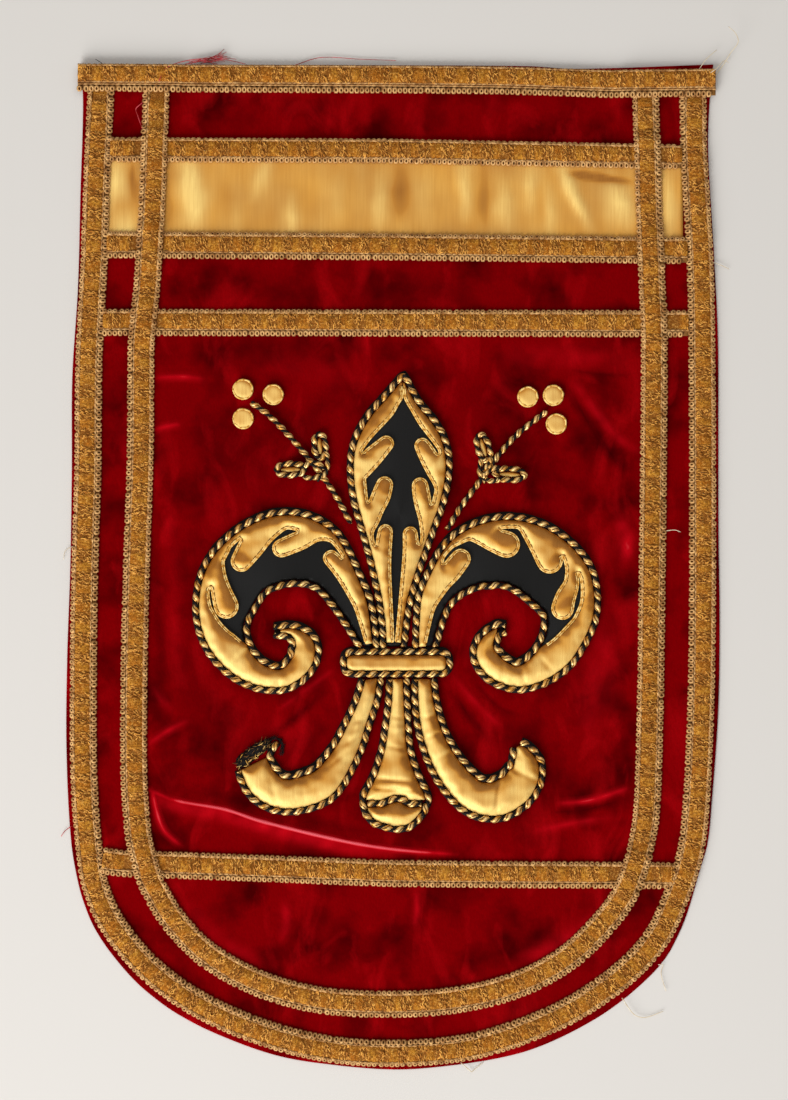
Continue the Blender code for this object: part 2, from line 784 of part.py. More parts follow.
def make_satin():
    upper, lower = (cross_curve(*row[1:4]) for row in CROSS_BRAIDS[:2])

    def edge(curve, tuck):
        return [p.xy + Vector((0, tuck)) for p in thin(curve, 4, 40) if abs(p.x) < SATIN_END]

    ends = [Vector((-SATIN_END, 0)), Vector((SATIN_END, 0))]
    low, high = edge(lower, SATIN_TUCK), edge(upper, -SATIN_TUCK)
    for end, place in zip(ends, (0, -1)):
        low.insert(len(low) if place else 0, Vector((end.x, low[place].y)))
        high.insert(len(high) if place else 0, Vector((end.x, high[place].y)))
    more = []
    for top, bottom, height, half in WRINKLES:
        for share, lift in ((0.14, 0), (0.3, 0.8), (0.5, 1), (0.7, 0.8), (0.86, 0)):
            middle = top + (bottom - top) * share
            y = WRINKLE_TOP - WRINKLE_DROP * share
            for across, part in ((-1, 0), (0, 1), (1, 0)):
                more.append(Vector((middle + across * half, y, height * lift * part)))
    return plate("satin_band", low + high[::-1], lambda x, y, z: ON_PANEL + z,
                 lambda x, y, z: ON_PANEL + SATIN_THICK + z, more, "gold satin")


def fit_end(piece, edge, side):
    """Slants a crossing braid's end along the outer braid."""
    reach = max(vertex.co.x * side for vertex in piece.data.vertices)
    rows = sorted((spot.y, spot.x) for spot in edge if spot.x * side > 100)
    for vertex in piece.data.vertices:
        if vertex.co.x * side > reach - END_RING * MM:
            y = vertex.co.y / MM
            below = max(row for row in rows if row[0] <= y)
            above = min(row for row in rows if row[0] > y)
            share = (y - below[0]) / (above[0] - below[0])
            vertex.co.x = (below[1] + (above[1] - below[1]) * share) * MM


def over_satin(path):
    """Where a braid lies over the satin strip, on both sides."""
    humps = []
    for right in (False, True):
        near = [p for p in path if (p.x > 0) == right]
        runs = sorted(run_at(path, min(near, key=lambda p: abs(p.y - y))) for y in OVER_SATIN)
        humps.append((*runs, ON_SATIN - ON_PANEL))
    return humps


def under_top(path):
    """Where a braid's ends lie under the top braid."""
    total = lengths(path)[-1]
    return [(-RAMP, TOP_COVER), (total - TOP_COVER, total + RAMP)]


def make_braids():
    outer, inner = fine(OUTER_BRAID), fine(INNER_BRAID)
    line = braid("braid_outer", outer, ON_PANEL, over_satin(outer), under_top(outer))[1]
    clear_of_outer = beside(line, BRAID_WIDTH / 2 + GAP)
    inner_humps = over_satin(inner)
    for name, *rows, level, width in CROSS_BRAIDS:
        curve = cross_curve(*rows)
        short = [p for p in curve if abs(p.x) < CROSS_REACH - 2]
        lost = run_at(curve, short[0])
        flats = []
        for right in (False, True):
            spot, half = meeting(curve, inner, right)
            half += CLEAR
            flats.append((run_at(curve, spot) - half - lost, run_at(curve, spot) + half - lost))
            middle = run_at(inner, spot)
            inner_humps.append((middle - half, middle + half, level + LAP - ON_PANEL))
        piece = braid(name, short, level, (), flats, width)[0]
        for side in (-1, 1):
            fit_end(piece, clear_of_outer, side)
    braid("braid_inner", inner, ON_PANEL, inner_humps, under_top(inner))
    top = fine(TOP_BRAID)
    total = lengths(top)[-1]
    left, right = TOP_LIFTS
    braid("braid_top", top, ON_PANEL, [(0, left, LAP), (total - right, total, LAP)])


def flame(name, rows, left, right, shares, sign, locks):
    """Padded gold along one edge of a shape, with its locks."""
    beyond = line_at(rows, [(number, 1.3) for number, _ in shares], sign)
    band = beyond + line_at(rows, shares, sign)[::-1]
    loop = fused(region_of(left, right), [band, *(lock_outline(lock) for lock in locks)])
    padded(name, loop, ON_GROUND, FLAME_RIM, FLAME_CROWN, "gold satin")


def ground(name, left, right):
    plate(name, tidy(region_of(left, right), 1.5), lambda x, y, z: ON_PANEL,
          lambda x, y, z: ON_PANEL + GROUND_THICK, (), "black satin")


def make_petal():
    left, right = cord_lines(PETAL, ABOVE_COLLAR)
    ground("ground_petal", left, right)
    flame("flame_petal_left", PETAL, left, right, PETAL_LEFT_BAND, 1, PETAL_LEFT_LOCKS)
    flame("flame_petal_right", PETAL, left, right, PETAL_RIGHT_BAND, -1, PETAL_RIGHT_LOCKS)
    cord("cord_petal", [*roomy(left), Vector((*PETAL_TIP, 0)), *roomy(right)[::-1]])


def make_scroll(side, rows, shares, locks, sign):
    left, right = cord_lines(rows, ABOVE_COLLAR)
    ground(f"ground_scroll_{side}", left, right)
    flame(f"flame_scroll_{side}", rows, left, right, shares, sign, locks)
    outer, inner = (left, right) if sign > 0 else (right, left)
    cord(f"cord_scroll_{side}_outer", outer)
    cord(f"cord_scroll_{side}_inner", inner)


def make_collar():
    left, right, upper, lower, corner = COLLAR
    line = []
    for x, y, start in ((right, upper, 0), (left, upper, 90), (left, lower, 180), (right, lower, 270)):
        centre = Vector((x - math.copysign(corner, x), y - corner if y == upper else y + corner))
        for k in range(4):
            turn = math.radians(start + 30 * k)
            line.append(centre + Vector((math.cos(turn), math.sin(turn))) * corner)
    cord("cord_collar", line, closed=True)
    padded("collar", beside(line, CORD_RADIUS + GAP, closed=True), ON_PANEL, PAD_RIM, PAD_CROWN, "gold satin")


def make_feet():
    left, right = cord_lines(FOOT_LEFT, BELOW_COLLAR)
    padded("foot_left", region_of(left, right), ON_PANEL, PAD_RIM, PAD_CROWN, "gold satin")
    cord("cord_foot_left_lower", left)
    cord("cord_foot_left_upper", right + [Vector((*spot, 0)) for spot in FOOT_LEFT_HOOK])
    fray_left, fray_right = (thin(edge, 20, 9) for edge in edges_of(FRAY))
    plate("foot_left_fray", [p.xy for p in fray_left[::-1] + fray_right], lambda x, y, z: ON_PANEL,
          lambda x, y, z: ON_PANEL + FRAY_THICK, (), "frayed black")
    left, right = cord_lines(FOOT_RIGHT, BELOW_COLLAR)
    padded("foot_right", region_of(left, right), ON_PANEL, PAD_RIM, PAD_CROWN, "gold satin")
    cord("cord_foot_right_inner", left)
    cord("cord_foot_right_outer", right)


def closed_off(line, near, far):
    """The outline between a line that runs from left to right and a height above or below the foot."""
    return [*line, *(Vector(spot) for spot in ((WIDE, near), (WIDE, far), (-WIDE, far), (-WIDE, near)))]


def make_centre_foot():
    left, right = cord_lines(FOOT_CENTRE, BELOW_COLLAR)
    room = region_of(left, right)
    tip = thin(smooth(TIP_CORD), CORD_TURN, CORD_STEP)
    away = CORD_RADIUS + GAP
    above = closed_off(beside(tip, away), -150, -60)
    below = closed_off(beside(tip, -away), -160, -200)
    padded("foot_centre", fused(room, [above]), ON_PANEL, PAD_RIM, PAD_CROWN, "gold satin")
    padded("foot_centre_tip", fused(room, [below]), ON_PANEL, PAD_RIM, PAD_CROWN, "gold satin")
    cord("cord_foot_centre", left + right[::-1])
    cord("cord_foot_centre_tip", tip)


def leaf_ring(base_x, base_y, tip_x, tip_y, half):
    """Middle line of the cord looped round a small leaf."""
    base, tip = Vector((base_x, base_y)), Vector((tip_x, tip_y))
    along = (tip - base).normalized()
    side = Vector((-along.y, along.x))
    middle, reach = (base + tip) / 2, (tip - base).length / 2
    ring = []
    for k in range(10):
        turn = 2 * math.pi * k / 10
        squeeze = math.copysign(abs(math.sin(turn)) ** 0.8, math.sin(turn))
        ring.append(middle + along * reach * math.cos(turn) + side * half * squeeze)
    return ring


def make_sprig(side, stem, leaves, discs):
    cord(f"sprig_{side}_stem", thin(smooth(stem), 12, 22), radius=SPRIG_CORD_RADIUS)
    for place, leaf in zip(("upper", "lower"), leaves):
        ring = leaf_ring(*leaf)
        cord(f"sprig_{side}_loop_{place}", ring, closed=True, radius=SPRIG_CORD_RADIUS)
        sliver = beside(ring, SPRIG_CORD_RADIUS + GAP, closed=True)
        plate(f"sprig_{side}_leaf_{place}", sliver, lambda x, y, z: ON_PANEL,
              lambda x, y, z: ON_PANEL + LEAF_THICK, (), "gold satin")
    for number, disc in enumerate(discs, 1):
        turns = [math.pi * k / 6 for k in range(12)]
        rim = [Vector(disc) + DISC_RADIUS * Vector((math.cos(turn), math.sin(turn))) for turn in turns]
        padded(f"sprig_{side}_disc_{number}", rim, ON_PANEL, DISC_RIM, DISC_CROWN, "gold satin")


def main():
    clear_scene()
    make_panel()
    make_satin()
    make_braids()
    make_petal()
    make_scroll("left", SCROLL_LEFT, SCROLL_LEFT_BAND, SCROLL_LEFT_LOCKS, -1)
    make_scroll("right", SCROLL_RIGHT, SCROLL_RIGHT_BAND, SCROLL_RIGHT_LOCKS, 1)
    make_collar()
    make_feet()
    make_centre_foot()
    make_sprig("left", STEM_LEFT, LEAVES_LEFT, DISCS_LEFT)
    make_sprig("right", STEM_RIGHT, LEAVES_RIGHT, DISCS_RIGHT)


main()
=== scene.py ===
import itertools
import math
import random

import bmesh
import bpy
import numpy as np
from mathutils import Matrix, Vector, noise
from mathutils.geometry import delaunay_2d_cdt


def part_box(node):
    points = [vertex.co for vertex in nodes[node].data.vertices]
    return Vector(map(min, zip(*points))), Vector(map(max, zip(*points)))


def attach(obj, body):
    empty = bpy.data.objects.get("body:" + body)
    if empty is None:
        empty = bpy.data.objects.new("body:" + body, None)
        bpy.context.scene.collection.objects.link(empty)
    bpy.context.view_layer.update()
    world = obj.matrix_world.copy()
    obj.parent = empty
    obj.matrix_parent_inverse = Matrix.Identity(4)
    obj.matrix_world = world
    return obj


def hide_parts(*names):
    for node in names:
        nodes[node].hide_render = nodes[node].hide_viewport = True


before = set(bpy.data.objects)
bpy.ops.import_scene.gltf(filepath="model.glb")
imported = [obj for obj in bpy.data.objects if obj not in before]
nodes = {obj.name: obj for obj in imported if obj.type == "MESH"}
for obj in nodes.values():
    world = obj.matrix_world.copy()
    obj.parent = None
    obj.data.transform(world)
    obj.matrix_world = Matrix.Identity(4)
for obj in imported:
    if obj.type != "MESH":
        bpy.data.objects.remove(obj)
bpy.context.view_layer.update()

mm = 0.001
dice = random.Random(41)


# Materials

def toLinear(hexColour):
    parts = [int(hexColour[i:i + 2], 16) / 255 for i in (1, 3, 5)]
    return (*[c / 12.92 if c <= 0.04045 else ((c + 0.055) / 1.055) ** 2.4 for c in parts], 1.0)


def addNode(tree, kind, inputs=None, **settings):
    # a node given as an input stands for its Fac output, or else for its first
    node = tree.nodes.new(kind)
    for key, value in settings.items():
        setattr(node, key, value)
    for key, value in (inputs or {}).items():
        if isinstance(value, bpy.types.Node):
            value = value.outputs.get("Fac", value.outputs[0])
        if isinstance(value, bpy.types.NodeSocket):
            tree.links.new(value, node.inputs[key])
        else:
            node.inputs[key].default_value = value
    return node


def newMaterial(name, look):
    material = bpy.data.materials.new(name)
    material.use_nodes = True
    shader = material.node_tree.nodes["Principled BSDF"]
    for key, value in look.items():
        shader.inputs[key].default_value = toLinear(value) if isinstance(value, str) else value
    return material, material.node_tree


def layered(tree, colour, *layers):
    # colours laid over one another, each as strong as its factor
    for factor, over in layers:
        colour, over = (toLinear(c) if isinstance(c, str) else c for c in (colour, over))
        colour = addNode(tree, "ShaderNodeMix", {0: factor, 6: colour, 7: over}, data_type="RGBA").outputs[2]
    return colour


def finishSurface(material, colour, height, strength, distance):
    # joins the colour and a bump to the shader
    tree = material.node_tree
    shader = tree.nodes["Principled BSDF"]
    bump = addNode(tree, "ShaderNodeBump", {"Height": height, "Strength": strength, "Distance": distance})
    tree.links.new(colour, shader.inputs["Base Color"])
    tree.links.new(bump.outputs[0], shader.inputs["Normal"])
    return material


velvetLook = {
    # brushed and crushed colours: partly crushed nap, partly painted highlight on the crease ridges; shaded:
    # painted shade
    "deep": "#420002", "mid": "#7a0004", "bright": "#a8060e", "brushedSheen": "#c60a18", "crushedSheen": "#f4707a",
    "shaded": "#300002",
    # patterns a metre: 33 mm patches, 25 mm streaks, 1.1 mm tufts
    "patch": 30, "streak": 40, "pile": 900,
}


def makeVelvet():
    # cotton pile velvet, cut and worn: the nap lies in soft patches. Along the crease ridges the nap
    # attribute lays on red and pale pink, partly crushed nap and partly painted highlight, and the shade
    # attribute lays on painted shade
    look = velvetLook
    material, tree = newMaterial("red cotton velvet, crushed nap", {
        "Roughness": 0.9, "Specular IOR Level": 0.0, "Sheen Weight": 0.4, "Sheen Roughness": 0.35,
        "Sheen Tint": "#ff1422"})
    place = addNode(tree, "ShaderNodeTexCoord").outputs["Object"]
    tall = addNode(tree, "ShaderNodeMapping", {"Vector": place, "Scale": (1, 0.5, 1)})
    patch = addNode(tree, "ShaderNodeTexNoise", {"Vector": place, "Scale": look["patch"], "Detail": 4.0})
    streak = addNode(tree, "ShaderNodeTexNoise", {"Vector": tall, "Scale": look["streak"], "Detail": 4.0,
                                                  "Distortion": 0.8})
    tufts = addNode(tree, "ShaderNodeTexNoise", {"Vector": tall, "Scale": look["pile"], "Detail": 2.0})
    dark = addNode(tree, "ShaderNodeMapRange", {0: patch, 1: 0.3, 2: 0.55})
    light = addNode(tree, "ShaderNodeMapRange", {0: streak, 1: 0.52, 2: 0.75, 4: 0.7})
    grain = addNode(tree, "ShaderNodeMapRange", {0: tufts, 1: 0.3, 2: 0.7, 3: 0.0, 4: 0.2})
    # the nap attribute lays on the brushed and then the pale crushed colour: partly crushed nap, partly a
    # painted highlight on the crease ridges
    nap = addNode(tree, "ShaderNodeAttribute", attribute_name="nap")
    brushedSheen = addNode(tree, "ShaderNodeMapRange", {0: nap, 1: 0.0, 2: 0.5})
    crushedSheen = addNode(tree, "ShaderNodeMapRange", {0: nap, 1: 0.35, 2: 1.0})
    # the shade attribute lays on painted shade in troughs, dark patches and round the lily
    shade = addNode(tree, "ShaderNodeAttribute", attribute_name="shade")
    colour = layered(tree, look["deep"], (dark, look["mid"]), (light, look["bright"]), (grain, look["deep"]),
                     (brushedSheen, look["brushedSheen"]), (crushedSheen, look["crushedSheen"]), (shade, look["shaded"]))
    return finishSurface(material, colour, tufts, 0.4, 0.0004)


def makeSatin(name, deep, low, high, pale, look):
    # satin weave: floats that run one way, so it is smooth, glossy and a little streaked
    material, tree = newMaterial(name, look)
    place = addNode(tree, "ShaderNodeTexCoord").outputs["Object"]
    # real floats are 0.1 mm apart; drawn at 0.9 mm so that they show
    floats = addNode(tree, "ShaderNodeMapping", {"Vector": place, "Scale": (1, 0.03, 1)})
    weave = addNode(tree, "ShaderNodeTexNoise", {"Vector": floats, "Scale": 1100.0, "Detail": 3.0})
    soil = addNode(tree, "ShaderNodeTexNoise", {"Vector": place, "Scale": 22.0, "Detail": 2.0})
    fade = addNode(tree, "ShaderNodeMapRange", {0: soil, 1: 0.3, 2: 0.7})
    line = addNode(tree, "ShaderNodeMapRange", {0: weave, 1: 0.3, 2: 0.7, 3: 0.0, 4: 0.3})
    # lit paints light on the satin: where it is low the deep colour is laid on as painted shade, where it is
    # high the pale colour as painted highlight
    lit = addNode(tree, "ShaderNodeAttribute", attribute_name="lit")
    dim = addNode(tree, "ShaderNodeMapRange", {0: lit, 1: 0.0, 2: 0.25, 3: 1.0, 4: 0.0})
    bright = addNode(tree, "ShaderNodeMapRange", {0: lit, 1: 0.2, 2: 1.0})
    colour = layered(tree, low, (fade, high), (dim, deep), (bright, pale), (line, low))
    return finishSurface(material, colour, weave, 0.15, 0.0003)


def makeMetalThread(name, dark, low, high, scale, rough, look):
    # gilt metal strip wound on a core: bright wires with dark gaps, a little tarnished
    material, tree = newMaterial(name, look)
    place = addNode(tree, "ShaderNodeTexCoord").outputs["Object"]
    along = addNode(tree, "ShaderNodeUVMap", uv_map="wind")
    wound = addNode(tree, "ShaderNodeMapping", {"Vector": along, "Scale": scale})
    wires = addNode(tree, "ShaderNodeTexWave", {"Vector": wound, "Scale": 1.0, "Distortion": 0.8,
                                                "Detail": 1.0}, wave_type="BANDS", bands_direction="DIAGONAL")
    tarnish = addNode(tree, "ShaderNodeTexNoise", {"Vector": place, "Scale": 300.0, "Detail": 3.0})
    dull = addNode(tree, "ShaderNodeMapRange", {0: tarnish, 1: 0.35, 2: 0.62})
    gap = addNode(tree, "ShaderNodeMapRange", {0: wires, 1: 0.0, 2: 0.35})
    colour = layered(tree, dark, (gap, layered(tree, low, (dull, high))))
    return finishSurface(material, colour, wires, rough, 0.0004)


def makeBlackThread():
    # black silk strand, soft and only slightly glossy
    material, tree = newMaterial("black silk strand", {"Roughness": 0.65, "Specular IOR Level": 0.15})
    place = addNode(tree, "ShaderNodeTexCoord").outputs["Object"]
    lint = addNode(tree, "ShaderNodeTexNoise", {"Vector": place, "Scale": 700.0, "Detail": 2.0})
    return finishSurface(material, layered(tree, "#060404", (lint, "#1c1410")), lint, 0.4, 0.0003)


def makePile():
    # wool pile of the braid's ridge: ochre cut blocks with fine lines across, dark gaps where it is looped
    material, tree = newMaterial("ochre wool pile", {
        "Roughness": 0.9, "Specular IOR Level": 0.1, "Sheen Weight": 0.15, "Sheen Roughness": 0.5,
        "Sheen Tint": "#ffb040"})
    place = addNode(tree, "ShaderNodeTexCoord").outputs["Object"]
    along = addNode(tree, "ShaderNodeUVMap", uv_map="wind")
    lines = addNode(tree, "ShaderNodeTexNoise", {"Vector": along, "Scale": 1.0, "Detail": 3.0})
    patch = addNode(tree, "ShaderNodeTexNoise", {"Vector": place, "Scale": 110.0, "Detail": 2.0})
    # cut ends of the wool, 1.2 mm apart; their colour paints shade in the hollows and a highlight on the tips
    curls = addNode(tree, "ShaderNodeTexNoise", {"Vector": place, "Scale": 820.0, "Detail": 3.0,
                                                 "Distortion": 1.0})
    hollowShade = addNode(tree, "ShaderNodeMapRange", {0: curls, 1: 0.34, 2: 0.52, 3: 0.85, 4: 0.0})
    tip = addNode(tree, "ShaderNodeMapRange", {0: curls, 1: 0.55, 2: 0.72, 3: 0.0, 4: 0.8})
    looped = addNode(tree, "ShaderNodeAttribute", attribute_name="looped")
    gap = addNode(tree, "ShaderNodeMapRange", {0: lines, 1: 0.36, 2: 0.56})
    hue = addNode(tree, "ShaderNodeMapRange", {0: patch, 1: 0.35, 2: 0.65})
    cut = layered(tree, "#b2681a", (hue, "#cc8c2e"))
    colour = layered(tree, "#965a18", (gap, cut), (looped, "#90581e"), (hollowShade, "#6e3e10"), (tip, "#e8b25c"))
    return finishSurface(material, colour, curls, 1.0, 0.0009)


def makeGimp(name, low, high):
    # cotton gimp cord of the loops: matt, pale, with the twist of its plies
    material, tree = newMaterial(name, {
        "Roughness": 0.7, "Specular IOR Level": 0.2, "Sheen Weight": 0.1, "Sheen Tint": "#ffdca0"})
    place = addNode(tree, "ShaderNodeTexCoord").outputs["Object"]
    ply = addNode(tree, "ShaderNodeTexNoise", {"Vector": place, "Scale": 260.0, "Detail": 3.0})
    hue = addNode(tree, "ShaderNodeMapRange", {0: ply, 1: 0.35, 2: 0.65})
    return finishSurface(material, layered(tree, low, (hue, high)), ply, 0.4, 0.0003)


velvetCloth = makeVelvet()
# rayon satin: glossy with a coat-like shine along the floats; its first colour is the painted shade and its
# last the painted highlight
goldSatin = makeSatin("gold rayon satin", "#94581a", "#b4742a", "#dc9a3a", "#ffda82", {
    "Roughness": 0.36, "Specular IOR Level": 0.9, "Specular Tint": "#ffd080", "Anisotropic": 0.3,
    "Coat Weight": 0.08, "Coat Roughness": 0.3})
blackSatin = makeSatin("black rayon satin", "#0d0c0b", "#070606", "#171513", "#2c2a28", {
    "Roughness": 0.5, "Specular IOR Level": 0.22, "Anisotropic": 0.3})
# wires run along the strand in the cord, across it on the couched edges
metalThread = makeMetalThread("gilt metal thread, twisted", "#5c3610", "#cf8e36", "#ffd890", (0.1, 1.9, 0),
                              0.9, {"Metallic": 0.35, "Roughness": 0.3, "Specular IOR Level": 0.8,
                                    "Specular Tint": "#ffcc8a"})
couchedThread = makeMetalThread("gilt metal thread, couched", "#c08530", "#dba244", "#ffdc8c", (0.12, 0.1, 0),
                                0.1, {"Metallic": 0.0, "Roughness": 0.42, "Specular IOR Level": 0.5,
                                      "Specular Tint": "#ffd890"})
blackThread = makeBlackThread()
woolPile = makePile()
gimpLoop = makeGimp("tan cotton gimp", "#986634", "#deae70")
woolLoop = makeGimp("curled wool loop", "#a4641c", "#e6a84c")
gimpTape = makeGimp("brown cotton tape", "#603c16", "#8e602a")
looseThread = makeGimp("undyed linen thread", "#cdb894", "#efe2c8")
redThread = makeGimp("red silk thread", "#8c1016", "#d8505a")
print("materials made")


# Reading the frame, in millimetres

def underLoops(name):
    # rims of a solid's underside, each run with the solid on its left as seen from above
    work = bmesh.new()
    work.from_mesh(nodes[name].data)
    bmesh.ops.remove_doubles(work, verts=work.verts, dist=0.00001)
    under = {face for face in work.faces if face.normal.z < -0.6}
    following = {}
    for face in work.faces:
        for corner in face.loops if face in under else ():
            if not any(other in under for other in corner.edge.link_faces if other is not face):
                following[corner.link_loop_next.vert] = corner.vert
    loops = []
    while following:
        here = min(following, key=lambda vert: vert.index)
        rim = []
        while here in following:
            spot = np.array(here.co) / mm
            if not rim or np.linalg.norm(spot - rim[-1]) > 0.4:
                rim.append(spot)
            here = following.pop(here)
        if len(rim) > 2:
            loops.append(np.array(rim))
    work.free()
    return sorted(loops, key=lambda loop: -abs(areaOf(loop)))


def areaOf(loop):
    x, y = loop[:, 0], loop[:, 1]
    return 0.5 * float(np.sum(x * np.roll(y, -1) - np.roll(x, -1) * y))


def levelOf(name):
    # height of a solid's underside
    return float(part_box(name)[0].z) / mm


def turnsOf(points):
    # left turn at each point of a closed line, in degrees
    into = points - np.roll(points, 1, axis=0)
    out = np.roll(points, -1, axis=0) - points
    angle = np.arctan2(out[:, 1], out[:, 0]) - np.arctan2(into[:, 1], into[:, 0])
    return np.degrees((angle + np.pi) % (2 * np.pi) - np.pi)


def nearestOn(spot, line):
    # nearest point to a spot on a polyline
    run = line[1:] - line[:-1]
    share = np.clip(np.sum((spot[:2] - line[:-1, :2]) * run[:, :2], axis=1)
                    / np.maximum(np.sum(run[:, :2] ** 2, axis=1), 1e-9), 0, 1)
    spots = line[:-1] + run * share[:, None]
    return spots[np.argmin(np.sum((spots[:, :2] - spot[:2]) ** 2, axis=1))]


def middleOf(name):
    # middle line of a long solid as x, y, z of its underside, and whether it is a ring
    loops = underLoops(name)
    if len(loops) == 2:
        inner = np.vstack([loops[1], loops[1][:1]])
        return np.array([(spot + nearestOn(spot, inner)) / 2 for spot in loops[0]]), True
    loop = loops[0]
    turn = turnsOf(loop)
    score = np.minimum(turn, np.roll(turn, -1))
    first, second = sorted(np.argsort(-score)[:2])
    right = loop[first + 1:second + 1]
    left = np.vstack([loop[second + 1:], loop[:first + 1]])[::-1]
    if len(left) > len(right):
        left, right = right, left
    return np.array([(spot + nearestOn(spot, left)) / 2 for spot in right]), False


def levelMiddleOf(name, further=1.2):
    # middle line of a solid that runs from left to right, reaching a little further at both ends
    rim = underLoops(name)[0]
    slope, height = np.polyfit(rim[:, 0], rim[:, 1], 1)
    over = rim[:, 1] > height + slope * rim[:, 0]
    low, high = rim[~over], rim[over]
    low, high = low[np.argsort(low[:, 0])], high[np.argsort(high[:, 0])]
    ends = max(low[0, 0], high[0, 0]), min(low[-1, 0], high[-1, 0])
    marks = np.linspace(*ends, int((ends[1] - ends[0]) / 9))
    middle = np.column_stack([marks] + [(np.interp(marks, low[:, 0], low[:, k])
                                         + np.interp(marks, high[:, 0], high[:, k])) / 2 for k in (1, 2)])
    for place, beyond in ((0, rim[:, 0].min() - further), (-1, rim[:, 0].max() + further)):
        middle[place, 1] += slope * (beyond - middle[place, 0])
        middle[place, 0] = beyond
    return middle


def smoothLine(points, step, closed=False, corner=48):
    # points about a step apart on a smooth line through the given ones
    # it stays sharp where it turns by more than corner, in degrees
    points = np.array(points, float)
    chain = np.vstack([points, points[:1]]) if closed else points
    run = chain[1:] - chain[:-1]
    far = np.maximum(np.linalg.norm(run[:, :2], axis=1), 1e-6)
    slope = run / far[:, None]
    count = len(run)
    leave, arrive = slope.copy(), slope.copy()
    for i in range(count):
        before = i - 1
        if before < 0 and not closed:
            continue
        a, b = slope[before], slope[i]
        same = float(a[:2] @ b[:2] / (np.linalg.norm(a[:2]) * np.linalg.norm(b[:2])))
        if math.degrees(math.acos(max(-1, min(1, same)))) > corner:
            continue
        tangent = (a * far[before] + b * far[i]) / (far[i] + far[before])
        leave[i] = tangent
        arrive[before] = tangent
    out = []
    for i in range(count):
        pieces = max(1, round(far[i] / step))
        for t in np.arange(pieces) / pieces:
            h = (2 * t**3 - 3 * t**2 + 1, t**3 - 2 * t**2 + t, 3 * t**2 - 2 * t**3, t**3 - t**2)
            out.append(h[0] * chain[i] + h[1] * far[i] * leave[i]
                       + h[2] * chain[i + 1] + h[3] * far[i] * arrive[i])
    if not closed:
        out.append(chain[-1])
    return np.array(out)


def runOf(line):
    return np.concatenate([[0], np.cumsum(np.linalg.norm(np.diff(line[:, :2], axis=0), axis=1))])


def evenly(line, step, closed=False):
    # the same line with its points an equal step apart
    chain = np.vstack([line, line[:1]]) if closed else line
    run = runOf(chain)
    count = max(2, round(run[-1] / step))
    marks = np.linspace(0, run[-1], count + 1)[:count if closed else count + 1]
    return np.column_stack([np.interp(marks, run, chain[:, k]) for k in range(chain.shape[1])]), marks


def evenRim(name, step, gap, corner=48):
    # smooth outline of a solid's underside in x and y, with its points a gap apart
    line = smoothLine(underLoops(name)[0][:, :2], step, closed=True, corner=corner)
    return evenly(line, gap, closed=True)[0]


def wayAlong(line, closed=False):
    # unit vector along the line at each point
    way = np.roll(line, -1, axis=0) - np.roll(line, 1, axis=0) if closed else np.gradient(line, axis=0)
    return way / np.maximum(np.linalg.norm(way, axis=1), 1e-9)[:, None]


def sidesOf(line, closed=False):
    # unit vector to the left at each point
    way = wayAlong(line[:, :2], closed)
    return np.column_stack([-way[:, 1], way[:, 0]])


def alongLine(spots, line):
    # distance from each spot to a line, and how far along it the nearest point lies, from 0 to 1
    run = runOf(line)
    near = np.full(len(spots), 1e9)
    share = np.zeros(len(spots))
    for i in range(len(line) - 1):
        step = line[i + 1] - line[i]
        t = np.clip((spots - line[i]) @ step / max(step @ step, 1e-9), 0, 1)
        away = np.linalg.norm(spots - line[i] - t[:, None] * step, axis=1)
        closer = away < near
        near = np.where(closer, away, near)
        share = np.where(closer, (run[i] + t * (run[i + 1] - run[i])) / run[-1], share)
    return near, share


def distanceTo(spots, loop):
    # distance from each spot to a closed loop
    return alongLine(spots, np.vstack([loop, loop[:1]]))[0]


def insideOf(spots, loop):
    odd = np.zeros(len(spots), bool)
    for a, b in zip(loop, np.roll(loop, -1, axis=0)):
        if a[1] == b[1]:
            continue
        crosses = (a[1] > spots[:, 1]) != (b[1] > spots[:, 1])
        odd ^= crosses & (spots[:, 0] < a[0] + (b[0] - a[0]) * (spots[:, 1] - a[1]) / (b[1] - a[1]))
    return odd


def ripple(x, y, size, seed=0.0):
    # smooth noise from -1 to 1 with bumps of the given size
    return noise.noise(Vector((x / size, y / size, seed)))


# Making meshes, in millimetres

def addPiece(name, shape, materials, replaced=()):
    # shape: points, faces, and perhaps uv per corner, material number per face, and values per point
    mesh = bpy.data.meshes.new(name)
    mesh.from_pydata((np.asarray(shape["points"]) * mm).tolist(), [], shape["faces"])
    if "uv" in shape:
        mesh.uv_layers.new(name="wind").data.foreach_set("uv", np.asarray(shape["uv"], np.float32).ravel())
    for key, values in shape.get("values", {}).items():
        mesh.attributes.new(key, "FLOAT", "POINT").data.foreach_set("value", np.asarray(values, np.float32))
    for material in materials:
        mesh.materials.append(material)
    if "paint" in shape:
        mesh.polygons.foreach_set("material_index", shape["paint"])
    mesh.shade_smooth()
    mesh.validate()
    mesh.update()
    piece = bpy.data.objects.new(name, mesh)
    bpy.context.scene.collection.objects.link(piece)
    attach(piece, "root")
    if replaced:
        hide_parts(*replaced)
    return piece


